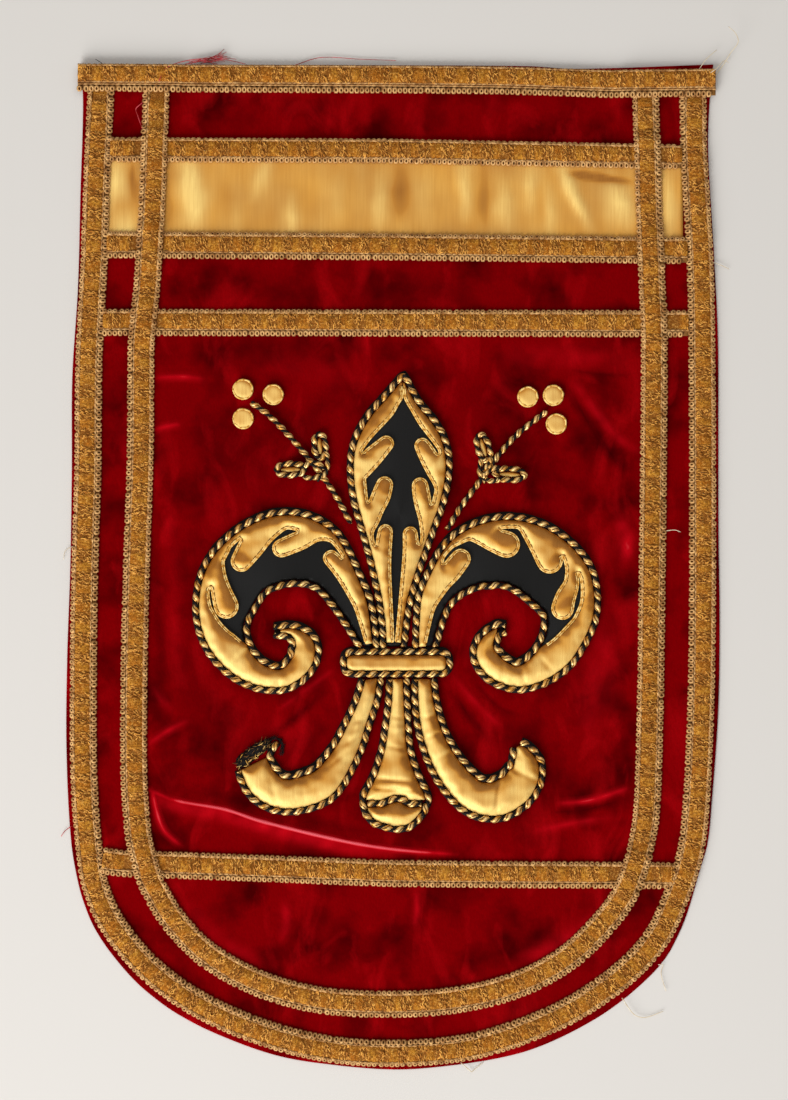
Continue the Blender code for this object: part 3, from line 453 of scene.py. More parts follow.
def joined(shapes, keys=()):
    # several shapes as one; keys are values per point, 0 where a shape has none
    points, faces, uv, paint = [], [], [], []
    values = {key: [] for key in keys}
    start = 0
    for number, shape in shapes:
        count = len(shape["points"])
        points.append(np.asarray(shape["points"]))
        faces += [tuple(i + start for i in face) for face in shape["faces"]]
        uv.append(np.asarray(shape["uv"]) if "uv" in shape else np.zeros((sum(map(len, shape["faces"])), 2)))
        paint += [number] * len(shape["faces"])
        for key in keys:
            values[key].append(np.asarray(shape.get("values", {}).get(key, np.zeros(count))))
        start += count
    return {"points": np.vstack(points), "faces": faces, "uv": np.vstack(uv), "paint": paint,
            "values": {key: np.concatenate(values[key]) for key in keys}}


def sweptFaces(count, sides, closed=False):
    # skin round a section carried along a line, with its ends closed off
    faces = []
    for i in range(count if closed else count - 1):
        a, b = i * sides, (i + 1) % count * sides
        faces += [(a + k, b + k, b + (k + 1) % sides, a + (k + 1) % sides) for k in range(sides)]
    if not closed:
        faces += [tuple(range(sides)), tuple(range((count - 1) * sides, count * sides))[::-1]]
    return faces


def tubeOf(line, radius, sides, closed=False):
    # round tube along a line of x, y, z; radius may differ from point to point
    count = len(line)
    way = wayAlong(line, closed)
    across = np.cross(np.array([0, 0, 1.0]), way)
    across /= np.maximum(np.linalg.norm(across, axis=1), 1e-6)[:, None]
    over = np.cross(way, across)
    angle = 2 * np.pi * np.arange(sides) / sides
    reach = np.broadcast_to(np.asarray(radius, float), (count,))[:, None, None]
    ring = across[:, None] * np.cos(angle)[None, :, None] + over[:, None] * np.sin(angle)[None, :, None]
    points = (line[:, None] + ring * reach).reshape(-1, 3)
    far = np.concatenate([[0], np.cumsum(np.linalg.norm(np.diff(line, axis=0), axis=1))])
    faces, uv = [], []
    for i in range(count if closed else count - 1):
        a, b = i * sides, (i + 1) % count * sides
        u, v = far[i], far[i + 1] if i + 1 < count else far[-1] + far[1]
        for k in range(sides):
            faces.append((a + k, a + (k + 1) % sides, b + (k + 1) % sides, b + k))
            low, high = k / sides, (k + 1) / sides
            uv += [(u, low), (u, high), (v, high), (v, low)]
    if not closed:
        faces += [tuple(range(sides))[::-1], tuple(range((count - 1) * sides, count * sides))]
        uv += [(0, 0)] * (2 * sides)
    return {"points": points, "faces": faces, "uv": uv}


def filled(loop, more):
    # triangles that fill a loop, through further points; they index loop then more
    flat = [Vector(spot) for spot in np.vstack([loop, more])[:, :2].tolist()]
    _, _, triangles, origins, _, _ = delaunay_2d_cdt(flat, [], [list(range(len(loop)))], 1, 1e-5)
    number = [own[0] if own else -1 for own in origins]
    return [tuple(number[i] for i in t) for t in triangles]


def meshGrid(loop, step, clearance):
    # spots in staggered rows inside a loop, clear of its edge
    low, high = loop.min(axis=0), loop.max(axis=0)
    rows = np.arange(low[1], high[1], step * 0.87)
    spots = np.array([(x + (i % 2) * step / 2, y) for i, y in enumerate(rows)
                      for x in np.arange(low[0], high[0], step)])
    spots = spots[insideOf(spots, loop)]
    return spots[distanceTo(spots, loop) > clearance]


def clothBody(loop, more, tops, low):
    # closed body: top through loop then more at the given heights, flat below
    count = len(loop)
    spots = np.vstack([loop, more])[:, :2]
    top = filled(loop, more)
    under = filled(loop, np.zeros((0, 2)))
    points = np.vstack([np.column_stack([spots, tops]), np.column_stack([loop, np.full(count, low)])])
    total = len(spots)
    faces = top + [tuple(total + i for i in t[::-1]) for t in under]
    faces += [(i, total + i, total + (i + 1) % count, (i + 1) % count) for i in range(count)]
    return {"points": points, "faces": faces}


# Camera and light

cameraPlace = {"x": 0.7, "y": 11.3, "height": 1700.0, "covers": 731.5, "sensor": 36.0}


def makeCamera():
    data = bpy.data.cameras.new("camera")
    data.sensor_width = cameraPlace["sensor"]
    data.lens = cameraPlace["sensor"] * cameraPlace["height"] / cameraPlace["covers"]
    data.clip_end = 20
    camera = bpy.data.objects.new("camera", data)
    camera.location = (cameraPlace["x"] * mm, cameraPlace["y"] * mm, cameraPlace["height"] * mm)
    bpy.context.scene.collection.objects.link(camera)
    bpy.context.scene.camera = camera


studio = {
    "keyPower": 158.0, "keySize": 2.4, "keyFrom": (-1.6, -2.5, 1.85),
    "fillPower": 12.0, "fillSize": 2.4, "fillFrom": (0.3, 0.9, 1.9),
    "world": "#f4f2ee", "worldStrength": 0.34, "floor": "#d9d5d0",
}


def addLamp(name, power, size, start):
    data = bpy.data.lights.new(name, "AREA")
    data.energy = power
    data.size = size
    lamp = bpy.data.objects.new(name, data)
    lamp.location = start
    lamp.rotation_euler = (-Vector(start)).to_track_quat("-Z", "Y").to_euler()
    bpy.context.scene.collection.objects.link(lamp)


def makeStudio():
    addLamp("keyLamp", studio["keyPower"], studio["keySize"], studio["keyFrom"])
    addLamp("fillLamp", studio["fillPower"], studio["fillSize"], studio["fillFrom"])
    world = bpy.data.worlds.new("studioWorld")
    world.use_nodes = True
    back = world.node_tree.nodes["Background"]
    back.inputs["Color"].default_value = toLinear(studio["world"])
    back.inputs["Strength"].default_value = studio["worldStrength"]
    bpy.context.scene.world = world
    bpy.context.scene.view_settings.view_transform = "Standard"
    bpy.ops.mesh.primitive_plane_add(size=6, location=(0, 0, -0.0002))
    floor = bpy.context.object
    floor.name = "floor"
    paper, _ = newMaterial("pale paper floor", {"Base Color": studio["floor"], "Roughness": 0.9,
                                                "Specular IOR Level": 0.1})
    floor.data.materials.append(paper)


makeCamera()
makeStudio()
print("camera and light placed")


# Velvet panel

velvetSizes = {
    "thick": 1.6, "rimStep": 2.6, "edge": 1.1, "edgeDrop": 0.7, "grid": 3.0, "gridClear": 2.2, "apart": 1.2,
    "sag": 0.45, "sagSize": 50.0, "dimple": 0.28, "dimpleSize": 15.0,
}

# folds and tones: height, half width, how crushed the nap is with its painted highlight, and how much painted
# shade lies there, then x, y along each
velvetCreases = (
    (1.3, 1.9, 1, 0, ((-162, -148), (-144.5, -155), (-111.5, -161), (-88.5, -168.5), (-33, -182), (4.5, -188),
                      (43, -191))),
    (0.9, 6, 0.34, 0, ((-162, -152), (-144.5, -159), (-111.5, -165), (-88.5, -172), (-33, -186),
                       (4.5, -191))),
    (-0.9, 6, 0, 0.55, ((-150, -146), (-120, -151), (-88, -158), (-40, -171), (0, -179))),
    (1, 2.4, 0.6, 0, ((-160, -148), (-157, -162), (-152, -175), (-141, -185))),
    (1, 2.6, 0.4, 0, ((-158, 125.5), (-142, 126.5), (-126, 125))),
    (0.7, 2.8, 0.3, 0, ((-163, -118), (-150, -109), (-136, -102))),
    (0.6, 3.4, 0.16, 0, ((-160, -78), (-154, -88), (-146, -96))),
    (0.6, 2.6, 0.35, 0, ((-159, 91), (-150, 93.5), (-141, 95))),
    (0.8, 6, 0.05, 0, ((-146, 34), (-144.5, -30), (-139, -80))),
    (-0.8, 5, 0, 0.5, ((-158, 20), (-156, -30), (-151, -80))),
    (0.7, 3, 0.25, 0, ((-75, -94), (-56, -80), (-39, -68))),
    (-0.9, 3.5, 0, 0.7, ((-90, -118), (-66, -101), (-42, -80))),
    (0.6, 3, 0.25, 0, ((41, -74), (57, -92), (72, -106))),
    (-0.8, 3.2, 0, 0.7, ((37, -80), (50, -98), (66, -117))),
    (-0.6, 3, 0, 0.5, ((52, -74), (70, -93), (84, -99))),
    (0.9, 2.6, 0.45, 0, ((110, -157), (130, -155), (156, -147))),
    (-0.8, 2.6, 0, 0.7, ((106, -163), (130, -161), (157, -153))),
    (0.6, 3, 0.3, 0, ((92, -176), (120, -170), (146, -166))),
    (0.7, 4, 0.2, 0, ((-72, -220), (-71, -236), (-74, -250))),
    (0.6, 3, 0.28, 0, ((15, -216), (16, -228), (14, -238))),
    (0.5, 7, 0.22, 0, ((84, -262), (112, -248), (138, -230))),
    (0.5, 7, 0.16, 0, ((-140, -222), (-118, -246), (-86, -264))),
    (-0.9, 3.6, 0, 0.8, ((112, 122), (128, 100), (146, 74), (161, 62))),
    (0.6, 4, 0.25, 0, ((120, 124), (136, 102), (152, 84), (165, 76))),
    (-0.7, 2.4, 0, 0.6, ((118, 131), (137, 128), (158, 127.5))),
    (0.5, 10, 0.12, 0, ((72, 141), (112, 140), (150, 138))),
    (0.5, 12, 0.06, 0, ((-92, 136), (-60, 133), (-28, 124))),
    (0, 14, 0, 0.42, ((-130, 146), (-85, 142), (-44, 145))),
    (0, 12, 0, 0.3, ((-124, 190), (-84, 186), (-40, 192))),
    (0.7, 6, 0.4, 0, ((152, 32), (156, 18), (154, 2))),
    (-0.5, 9, 0, 0.45, ((-60, 60), (-55, 95), (-30, 128))),
    (0, 24, 0, 0.42, ((-134, 104), (-104, 80), (-66, 48))),
    (0, 18, 0, 0.35, ((-146, -60), (-128, -88), (-98, -106))),
    (0, 20, 0, 0.3, ((42, 122), (84, 84), (116, 44))),
    (0, 14, 0, 0.3, ((-110, 220), (-60, 224), (-20, 220))),
    (0, 12, 0, 0.42, ((-30, 176), (10, 186), (60, 180))),
    (0, 16, 0.12, 0, ((132, -20), (138, -60), (128, -110))),
)
creaseSizes = {
    "narrow": 3.1, "step": 1.7, "across": (-1.6, -0.8, 0, 0.8, 1.6), "unevenSize": 9,
    "haloReach": 9.0, "haloShade": 0.4,
}


def creaseField(spots):
    # lift of the cloth, crushed nap with its painted highlight, and painted shade at each spot
    lift, nap, shade = np.zeros(len(spots)), np.zeros(len(spots)), np.zeros(len(spots))
    for height, half, crushedSheen, shaded, rows in velvetCreases:
        near, share = alongLine(spots, smoothLine(rows, 4))
        along = np.sin(np.pi * np.clip(share, 0.01, 0.99)) ** 0.5
        form = np.exp(-((near / half) ** 2) * 1.6) * along
        lift += height * form
        nap = np.maximum(nap, crushedSheen * np.exp(-((near / (half * 0.7)) ** 2)) * along)
        shade = np.maximum(shade, shaded * form)
    uneven = np.array([ripple(x, y, creaseSizes["unevenSize"], 12) for x, y in spots])
    nap *= np.where(nap > 0.6, 1, 0.8 + 0.7 * uneven)
    shade *= 0.9 + 0.4 * uneven
    # painted shade round the lily's padded pieces, where their shadow falls on the cloth
    for name in nodes:
        if name.startswith(("ground_", "foot_", "collar")):
            away = distanceTo(spots, underLoops(name)[0][:, :2])
            halo = creaseSizes["haloShade"] * np.exp(-((away / creaseSizes["haloReach"]) ** 2))
            shade = np.maximum(shade, halo)
    return lift, np.clip(nap, 0, 1), np.clip(shade, 0, 1)


def creaseSpots(loop):
    # rows of spots that carry the narrow creases
    rows = []
    for _, half, _, _, points in velvetCreases:
        if half < creaseSizes["narrow"]:
            line, _ = evenly(smoothLine(points, 2), creaseSizes["step"])
            rows += [line + sidesOf(line) * half * across for across in creaseSizes["across"]]
    spots = np.vstack(rows)
    return spots[insideOf(spots, loop) & (distanceTo(spots, loop) > velvetSizes["gridClear"])]


def farFrom(spots, others, least):
    # the spots that keep a distance from all others
    kept = np.ones(len(spots), bool)
    for other in others:
        kept &= np.abs(spots - other).max(axis=1) >= least
    return spots[kept]


def makeVelvetPanel():
    sizes = velvetSizes
    loop = evenRim("velvet_panel", 3, sizes["rimStep"], corner=30)
    inner = loop + sidesOf(loop, closed=True) * sizes["edge"]
    narrow = creaseSpots(loop)
    grid = farFrom(meshGrid(loop, sizes["grid"], sizes["gridClear"]), narrow, sizes["apart"])
    more = np.vstack([inner, narrow, grid])
    lift, nap, shade = creaseField(more)
    sag = np.array([sizes["sag"] * min(0, ripple(x, y, sizes["sagSize"], 3) - 0.1)
                    + sizes["dimple"] * ripple(x, y, sizes["dimpleSize"], 8) for x, y in more])
    heights = np.concatenate([np.full(len(loop), sizes["thick"] - sizes["edgeDrop"]),
                              sizes["thick"] + lift + sag])
    shape = clothBody(loop, more, heights, 0.0)
    rest = np.zeros(len(loop))
    # nap carries crushed nap and painted highlight, shade carries painted shade
    shape["values"] = {"nap": np.concatenate([rest, nap, rest]), "shade": np.concatenate([rest, shade, rest])}
    piece = addPiece("velvetPanel", shape, [velvetCloth], ["velvet_panel"])
    print("velvet panel", len(shape["faces"]), "faces")


makeVelvetPanel()


# Satin strip

satinSizes = {"thick": 0.5, "further": 3.6, "grid": 2.4, "rows": 32, "middle": 243, "ripple": 0.12}
# the long dent near the right end: where it starts, how long it is, its height there and how far it falls,
# its half width, how deep it is and how much painted shade lies in it
satinDent = {"from": 112, "long": 50, "height": 262, "fall": 7, "half": 2.4, "deep": 1.1, "dim": 0.7}

# wrinkles: x at the upper and lower edge, height, half width, shine (painted highlight above zero, painted
# shade below zero), and from and to what share of the way up
satinWrinkles = (
    (-184, -184, 0.7, 6, 0.8, 0.3, 1.1), (-182, -178, 0.8, 8, 0.8, -0.3, 0.4),
    (-176, -188, -1, 3, -0.9, 0.3, 0.55), (-173, -172, -0.6, 2, -0.5, 0.4, 1),
    (-150, -147, -0.5, 5, -0.15, 0, 1), (-136, -131, 1.3, 7, 0.85, 0, 1.1),
    (-84, -99, 1, 4.5, 0.55, 0.4, 1.1), (-70, -66, 1, 4.5, 0.5, -0.1, 0.65),
    (-108, -104, 0.5, 4, 0.3, -0.1, 0.5), (-40, -37, 0.6, 5, 0.2, 0, 1), (-9, -9, 0.9, 5, 0.45, 0, 0.9),
    (6, 5, -0.6, 5, -0.25, 0.2, 1), (22, 20, 0.5, 7, 0.15, 0, 1), (47, 49, 1.1, 4.5, 0.5, 0.2, 1.1),
    (60, 61, -0.5, 4, -0.2, 0, 1), (72, 75, 1, 5, 0.45, 0, 0.9), (91, 92, 0.9, 4.5, 0.5, 0.3, 1.1),
    (102, 105, 0.8, 4, 0.4, 0, 0.8), (110, 134, 1.6, 4.5, 0.75, 0.1, 1.1),
    (146, 156, 1.3, 8, 0.75, 0.1, 0.9), (182, 184, 0.7, 5, 0.5, 0, 1),
)


def makeSatinStrip():
    sizes, fold = satinSizes, satinDent
    rim = underLoops("satin_band")[0]
    level = levelOf("satin_band")
    high = rim[rim[:, 1] > sizes["middle"]][:, :2]
    low = rim[rim[:, 1] <= sizes["middle"]][:, :2]
    high, low = high[np.argsort(high[:, 0])], low[np.argsort(low[:, 0])]
    left, right = rim[:, 0].min() - sizes["further"], rim[:, 0].max() + sizes["further"]
    across = np.linspace(left, right, int((right - left) / sizes["grid"]))
    rows = sizes["rows"]
    points, lit = [], []
    for j in range(rows):
        share = j / (rows - 1)
        for x in across:
            y = np.interp(x, *low.T) * (1 - share) + np.interp(x, *high.T) * share
            z = sizes["ripple"] * ripple(x * 3, y, 30, 2)
            # lit is painted light: a painted highlight along the wrinkle ridges, painted shade in the folds
            # and the dent
            shine = 0.3 + 0.12 * ripple(x * 3, y, 26, 5)
            for top, bottom, height, half, bright, start, end in satinWrinkles:
                middle = bottom + (top - bottom) * share + 1.2 * ripple(x / 9, y, 11, top)
                wide = half * (1.15 + 0.5 * ripple(x / 9, y, 16, bottom))
                form = math.exp(-(((x - middle) / wide) ** 2) * 1.3)
                form *= max(0, min(1, (share - start) * 2.6)) * max(0, min(1, (end - share) * 2.6))
                z += height * form * math.sin(math.pi * share) ** 0.5
                shine += bright * form
            along = (x - fold["from"]) / fold["long"]
            if 0 < along < 1:
                off = (y - (fold["height"] - fold["fall"] * along)) / fold["half"]
                dent = math.exp(-(off**2)) * math.sin(math.pi * along)
                z -= fold["deep"] * dent
                shine -= fold["dim"] * dent
            points.append((x, y, level + sizes["thick"] + max(z, -0.15)))
            lit.append(max(0, min(1, shine)))
    wide = len(across)
    faces = [(j * wide + i, j * wide + i + 1, (j + 1) * wide + i + 1, (j + 1) * wide + i)
             for j in range(rows - 1) for i in range(wide - 1)]
    shape = {"points": points, "faces": faces, "values": {"lit": lit}}
    piece = addPiece("satinStrip", shape, [goldSatin], ["satin_band"])
    thicken(piece, sizes["thick"])


def thicken(piece, thick):
    # gives a sheet its thickness below its face
    modifier = piece.modifiers.new("thickness", "SOLIDIFY")
    modifier.thickness = thick * mm
    modifier.offset = -1
    bpy.ops.object.select_all(action="DESELECT")
    bpy.context.view_layer.objects.active = piece
    piece.select_set(True)
    bpy.ops.object.modifier_apply(modifier=modifier.name)
    piece.select_set(False)


makeSatinStrip()
print("satin strip laid")


# Braids

braidSizes = {
    "step": 1.15, "tape": 0.9, "tapeIn": 1.2, "tapeEvery": 3,
    # the ridge, which starts at its base above the tape
    "base": 0.7, "ridge": 5.6, "sides": 12, "crest": 5.3, "endRound": 3.0, "rough": 0.42, "sunk": 0.45,
    "bulge": 0.3, "round": 0.85, "cutLength": 6.0, "loopLength": 7.4, "jitter": 1.8, "openEnd": 2.5,
    "pitch": 3.6, "ringAlong": 1.14, "ringThread": 0.86, "ringSteps": 7, "ringSides": 3, "ringAcross": 1.4,
    "ringHeight": 1.55, "droop": 0.45,
    "beadThread": 0.85, "beadSwell": 0.34, "beadSteps": 4, "beadSides": 3, "beadHeight": 1.7, "beadRow": 1.55,
    "arches": 34, "archReach": 1.25, "archThread": 0.5, "archSteps": 3,
}


def braidRoute(name):
    # even route of a braid: x and y, run, height of its underside and of its pile above that
    middle = levelMiddleOf(name) if "cross" in name else middleOf(name)[0]
    line, run = evenly(smoothLine(middle[:, :2], 2), braidSizes["step"])
    side = sidesOf(line)
    marks = np.array([run[np.argmin(np.sum((line - here[:2]) ** 2, axis=1))] for here in middle])
    order = np.argsort(marks)
    level = np.interp(run, marks[order], middle[order, 2])
    corners = np.array([vertex.co for vertex in nodes[name].data.vertices]) / mm
    place = np.array([np.argmin(np.sum((line - spot[:2]) ** 2, axis=1)) for spot in corners])
    off = np.abs(np.sum((corners[:, :2] - line[place]) * side[place], axis=1))
    crest = (off < braidSizes["crest"]) & (corners[:, 2] > level[place] + 0.9)
    order = np.argsort(place[crest])
    pile = np.interp(run, run[place[crest]][order], (corners[crest, 2] - level[place[crest]])[order])
    return line, run, level, pile


def blocksAlong(length):
    # where the looped blocks of a braid start and end
    sizes = braidSizes
    blocks = []
    here = dice.uniform(0, sizes["cutLength"])
    while here < length:
        end = here + sizes["loopLength"] + dice.uniform(-1, 1) * sizes["jitter"]
        blocks.append((here, end))
        here = end + sizes["cutLength"] + dice.uniform(-1, 1) * sizes["jitter"]
    return blocks


def threadLoop(centre, alongWay, acrossWay, alongReach, acrossReach, thread, steps, sides, part=1.0):
    # small loop of thread: a ring, or an arch with its crown toward acrossWay
    closed = part >= 1
    turn = (np.arange(steps if closed else steps + 1) / steps - 0.5) * 2 * np.pi * part
    line = (centre + np.outer(np.cos(turn), acrossWay) * acrossReach
            + np.outer(np.sin(turn), alongWay) * alongReach)
    normal = np.cross(alongWay, acrossWay)
    normal /= np.linalg.norm(normal)
    out = np.cross(wayAlong(line, closed), normal)
    angle = 2 * np.pi * (np.arange(sides) + 0.5) / sides
    points = (line[:, None] + thread * (out[:, None] * np.cos(angle)[None, :, None]
                                        + normal[None, None] * np.sin(angle)[None, :, None])).reshape(-1, 3)
    return {"points": points, "faces": sweptFaces(len(line), sides, closed)}


def braidTape(line, side, level, half):
    # flat tape under the pile
    chosen = list(range(0, len(line) - 1, braidSizes["tapeEvery"])) + [len(line) - 1]
    section = ((-half, 0.0), (half, 0.0), (half, braidSizes["tape"]), (-half, braidSizes["tape"]))
    points = np.array([(*(line[i] + side[i] * x), level[i] + z) for i in chosen for x, z in section])
    return {"points": points, "faces": sweptFaces(len(chosen), 4)}


def braidRidge(line, side, run, level, pile, blocks, shift):
    # rounded pile: cut blocks stand up, looped blocks lie a little lower
    sizes = braidSizes
    sides = sizes["sides"]
    points, values, spots = [], [], []
    starts = [start for start, _ in blocks]
    for i in range(len(line)):
        near = int(np.searchsorted(starts, run[i]))
        free = max(0.0, min(1.0, (pile[i] - 1.4) / 1.2))
        full = min(1.0, (min(run[i], run[-1] - run[i]) + 0.2) / sizes["endRound"]) ** 0.5
        for k in range(sides):
            angle = math.pi * (k / (sides - 1) - 0.5)
            across = sizes["ridge"] * math.sin(angle) * (1 + 0.07 * ripple(run[i], k, 2.5, 5))
            across *= 0.8 + 0.2 * full
            crown = math.cos(angle) ** sizes["round"]
            spot = run[i] + 1.3 * ripple(run[i], across, 3.0, 11)
            about = blocks[max(0, near - 2):near + 2]
            within = max([min(spot - start, end - spot) for start, end in about] or [-9])
            looped = max(0.0, min(1.0, within + 0.5))
            lump = sizes["rough"] * ripple(run[i], across * 1.3, 1.8, 7) * free
            sunk = sizes["sunk"] * looped * free
            bulge = sizes["bulge"] * free * math.cos(angle) * (1 - looped)
            height = (max(0.0, pile[i] - sizes["base"]) + lump - sunk + bulge) * crown * (0.5 + 0.5 * full)
            height += sizes["base"]
            points.append((*(line[i] + side[i] * (across + shift)), level[i] + height))
            values.append(looped)
            spots.append((run[i] * 0.9, across * 0.22))
    faces = sweptFaces(len(line), sides)
    return {"points": np.array(points), "faces": faces, "values": {"looped": values},
            "uv": [spots[corner] for face in faces for corner in face]}


def braidArches(line, side, run, level, pile, blocks, shift):
    # curled arches of thread that stand across the looped blocks
    sizes = braidSizes
    shapes = []
    for start, end in blocks:
        for _ in range(sizes["arches"]):
            here = dice.uniform(start - 0.4, end + 0.4)
            angle = dice.uniform(-1.2, 1.2)
            spin, lean = dice.gauss(0, 0.5), dice.uniform(-0.9, 0.9)
            i = int(here / run[-1] * (len(run) - 1))
            if not 0 < i < len(run) - 1 or pile[i] < 2:
                continue
            way = (line[i + 1] - line[i]) / np.linalg.norm(line[i + 1] - line[i])
            flatWay = np.array([*(side[i] * math.cos(spin) + way * math.sin(spin)), 0])
            upWay = np.array([*(way * math.sin(lean)), math.cos(lean)])
            height = (pile[i] - sizes["base"] - sizes["sunk"]) * math.cos(angle) ** sizes["round"]
            height = sizes["base"] + height - 0.1
            across = sizes["ridge"] * 0.93 * math.sin(angle) + shift
            centre = np.array([*(line[i] + side[i] * across), level[i] + height])
            wide, high = sizes["archReach"] * dice.uniform(0.65, 1.1), dice.uniform(0.6, 1.2)
            shapes.append(threadLoop(centre, flatWay, upWay, wide, high, sizes["archThread"],
                                     sizes["archSteps"], 3, dice.uniform(0.5, 0.62)))
    return shapes


def gimpEdge(line, side, run, level, half, shift, sign):
    # ring loops along one edge, and a row of beads between them and the pile
    shapes = []
    sizes = braidSizes
    room = half - sizes["ridge"] + 0.3 - sign * shift
    reach = min((room + 0.5) / 2 - sizes["ringThread"], sizes["ringAcross"])
    here = dice.uniform(1.6, 2.6)
    while here < run[-1] - 1.8:
        i = min(int(here / run[-1] * (len(run) - 1)), len(run) - 2)
        way = line[i + 1] - line[i]
        way = np.array([*way, level[i + 1] - level[i]]) / np.linalg.norm(way)
        out = np.array([*side[i] * sign, dice.uniform(-0.15, 0.15) - sizes["droop"]])
        across = sign * (half - reach - sizes["ringThread"] + 0.1)
        centre = np.array([*(line[i] + side[i] * across), level[i] + sizes["ringHeight"]])
        long, wide = sizes["ringAlong"] * dice.uniform(0.9, 1.06), reach * dice.uniform(0.92, 1.12)
        thick = sizes["ringThread"] * dice.uniform(0.9, 1.05)
        shapes.append(threadLoop(centre, way, out, long, wide, thick, sizes["ringSteps"], sizes["ringSides"]))
        here += sizes["pitch"] * dice.uniform(0.96, 1.04)
    gap = half - 2 * (reach + sizes["ringThread"]) - sizes["ridge"] - sign * shift
    for row in range(1 + int(gap > 1)):
        across = sign * (sizes["ridge"] - 0.1 + sizes["beadRow"] * row) + shift
        spots = np.column_stack([line + side * across, level + sizes["beadHeight"]])
        spots, _ = evenly(spots, sizes["pitch"] / sizes["beadSteps"])
        turn = np.arange(len(spots)) * 2 * np.pi / sizes["beadSteps"]
        swell = sizes["beadThread"] + sizes["beadSwell"] * np.cos(turn + row * np.pi)
        shapes.append(tubeOf(spots, swell, sizes["beadSides"]))
    return shapes


def makeBraid(name, half, shift):
    line, run, level, pile = braidRoute(name)
    side = sidesOf(line)
    if "cross" in name and side[len(side) // 2][1] * shift < 0:
        shift = -shift
    blocks = blocksAlong(run[-1])
    if name == "braid_top":     # its cut ends have come open
        blocks = [(0, braidSizes["openEnd"])] + blocks + [(run[-1] - braidSizes["openEnd"], run[-1])]
    arches = braidArches(line, side, run, level, pile, blocks, shift)
    shapes = [(1, braidTape(line, side, level, half - braidSizes["tapeIn"])),
              (0, braidRidge(line, side, run, level, pile, blocks, shift))] + [(2, arch) for arch in arches]
    shape = joined(shapes, ["looped"])
    addPiece(name.replace("braid", "pileBraid"), shape, [woolPile, gimpTape, woolLoop],
             [name])
    edge = joined([(0, loop) for sign in (1, -1)
                   for loop in gimpEdge(line, side, run, level, half, shift, sign)])
    addPiece(name.replace("braid", "gimpLoops"), edge, [gimpLoop])
    print(name, len(shape["faces"]), "and", len(edge["faces"]), "faces")


# name, half width, and how far the pile sits off the middle
braidRows = (
    ("braid_cross_1", 8.5, 0.9), ("braid_cross_2", 9.25, 0.9), ("braid_cross_3", 9.25, 0.9),
    ("braid_cross_4", 9.25, 0.9), ("braid_outer", 9.25, 0.8), ("braid_inner", 9.25, 0.8),
    ("braid_top", 9.25, 2.9),
)
for braidRow in braidRows:
    makeBraid(*braidRow)


# Twisted cords

cordSizes = {
    "radius": 2.05, "lift": 2.0, "lay": 8.0, "steps": 10, "sides": 8,
    "gold": 1.5, "swell": 0.28, "black": 0.9, "goldOff": 0.72, "blackOff": 1.15,
    # the black felt under the cord, widened on the upper side as a painted shadow
    "margin": 2.25, "shadeMargin": 1.0, "wave": 0.35, "waveSize": 4, "tuck": 1.9, "probe": 3.4,
    "feltLow": 1.65, "feltTop": 2.15,
}
paddedNames = [name for name in nodes if name.startswith(("flame_", "foot_", "collar", "ground_"))]
paddedLoops = [underLoops(name)[0][:, :2] for name in paddedNames]


def feltAndShadowMargin(line, side, closed):
    # black felt under the cord, which shows as a thin line on the side away from the padding; on the upper
    # side, away from the light, it is widened as the cord's painted shadow
    sizes = cordSizes
    reach = []
    for sign in (1, -1):
        probe = line + side * sign * sizes["probe"]
        within = np.zeros(len(line), bool)
        for loop in paddedLoops:
            within |= insideOf(probe, loop)
        # shadeMargin: painted shadow, the felt made wider on the upper side
        wide = sizes["margin"] + sizes["shadeMargin"] * np.maximum(0, side[:, 1] * sign)
        wide = wide + np.array([sizes["wave"] * ripple(x, y, sizes["waveSize"], 9) for x, y in line])
        reach.append(np.where(within, sizes["tuck"], wide))
    right, left = line - side * reach[1][:, None], line + side * reach[0][:, None]
    low, top = sizes["feltLow"], sizes["feltTop"]
    section = [np.column_stack([edge, np.full(len(line), height)])
               for edge, height in ((right, low), (left, low), (left, top), (right, top))]
    return {"points": np.stack(section, axis=1).reshape(-1, 3), "faces": sweptFaces(len(line), 4, closed)}


def strandsOf(line, level, size, closed=False):
    # two gilt-wound and black strands laid together along a line, and the even line itself
    sizes = cordSizes
    length = runOf(np.vstack([line, line[:1]]) if closed else line)[-1]
    lays = max(1, round(length / (sizes["lay"] * size)))
    line, run = evenly(line, length / lays / sizes["steps"], closed)
    side = sidesOf(line, closed)
    shapes = []
    phase = -2 * np.pi * run / (length / lays) + dice.uniform(0, 6)
    for number, (kind, start, swell) in enumerate((("gold", 0.0, sizes["swell"]), ("black", math.pi, 0.0))):
        turn = phase + start
        out, up = np.cos(turn) * sizes[kind + "Off"] * size, np.sin(turn) * sizes[kind + "Off"] * size
        thick = sizes[kind] * size * (1 + swell * np.sin(turn))
        spots = np.column_stack([line + side * out[:, None], level + up])
        shapes.append((number, tubeOf(spots, thick, sizes["sides"], closed)))
    return shapes, line, side


def twistedCord(name):
    middle, closed = middleOf(name)
    low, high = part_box(name)
    radius = float(high.z - low.z) / mm / (2 * math.sin(math.pi / 3))     # its section has six sides
    size = radius / cordSizes["radius"]
    level = levelOf(name) + cordSizes["lift"] * size
    shapes, line, side = strandsOf(smoothLine(middle[:, :2], 1.0, closed), level, size, closed)
    if name.startswith("cord_"):
        shapes.append((1, feltAndShadowMargin(line, side, closed)))
    newName = name.replace("cord", "twistedCord", 1) if name.startswith("cord") else name + "_twist"
    addPiece(newName, joined(shapes), [metalThread, blackThread], [name])


cordNames = sorted(name for name in nodes if name.startswith("cord_") or "_stem" in name or "_loop_" in name)
for cordName in cordNames:
    twistedCord(cordName)
print("cords twisted", len(cordNames))

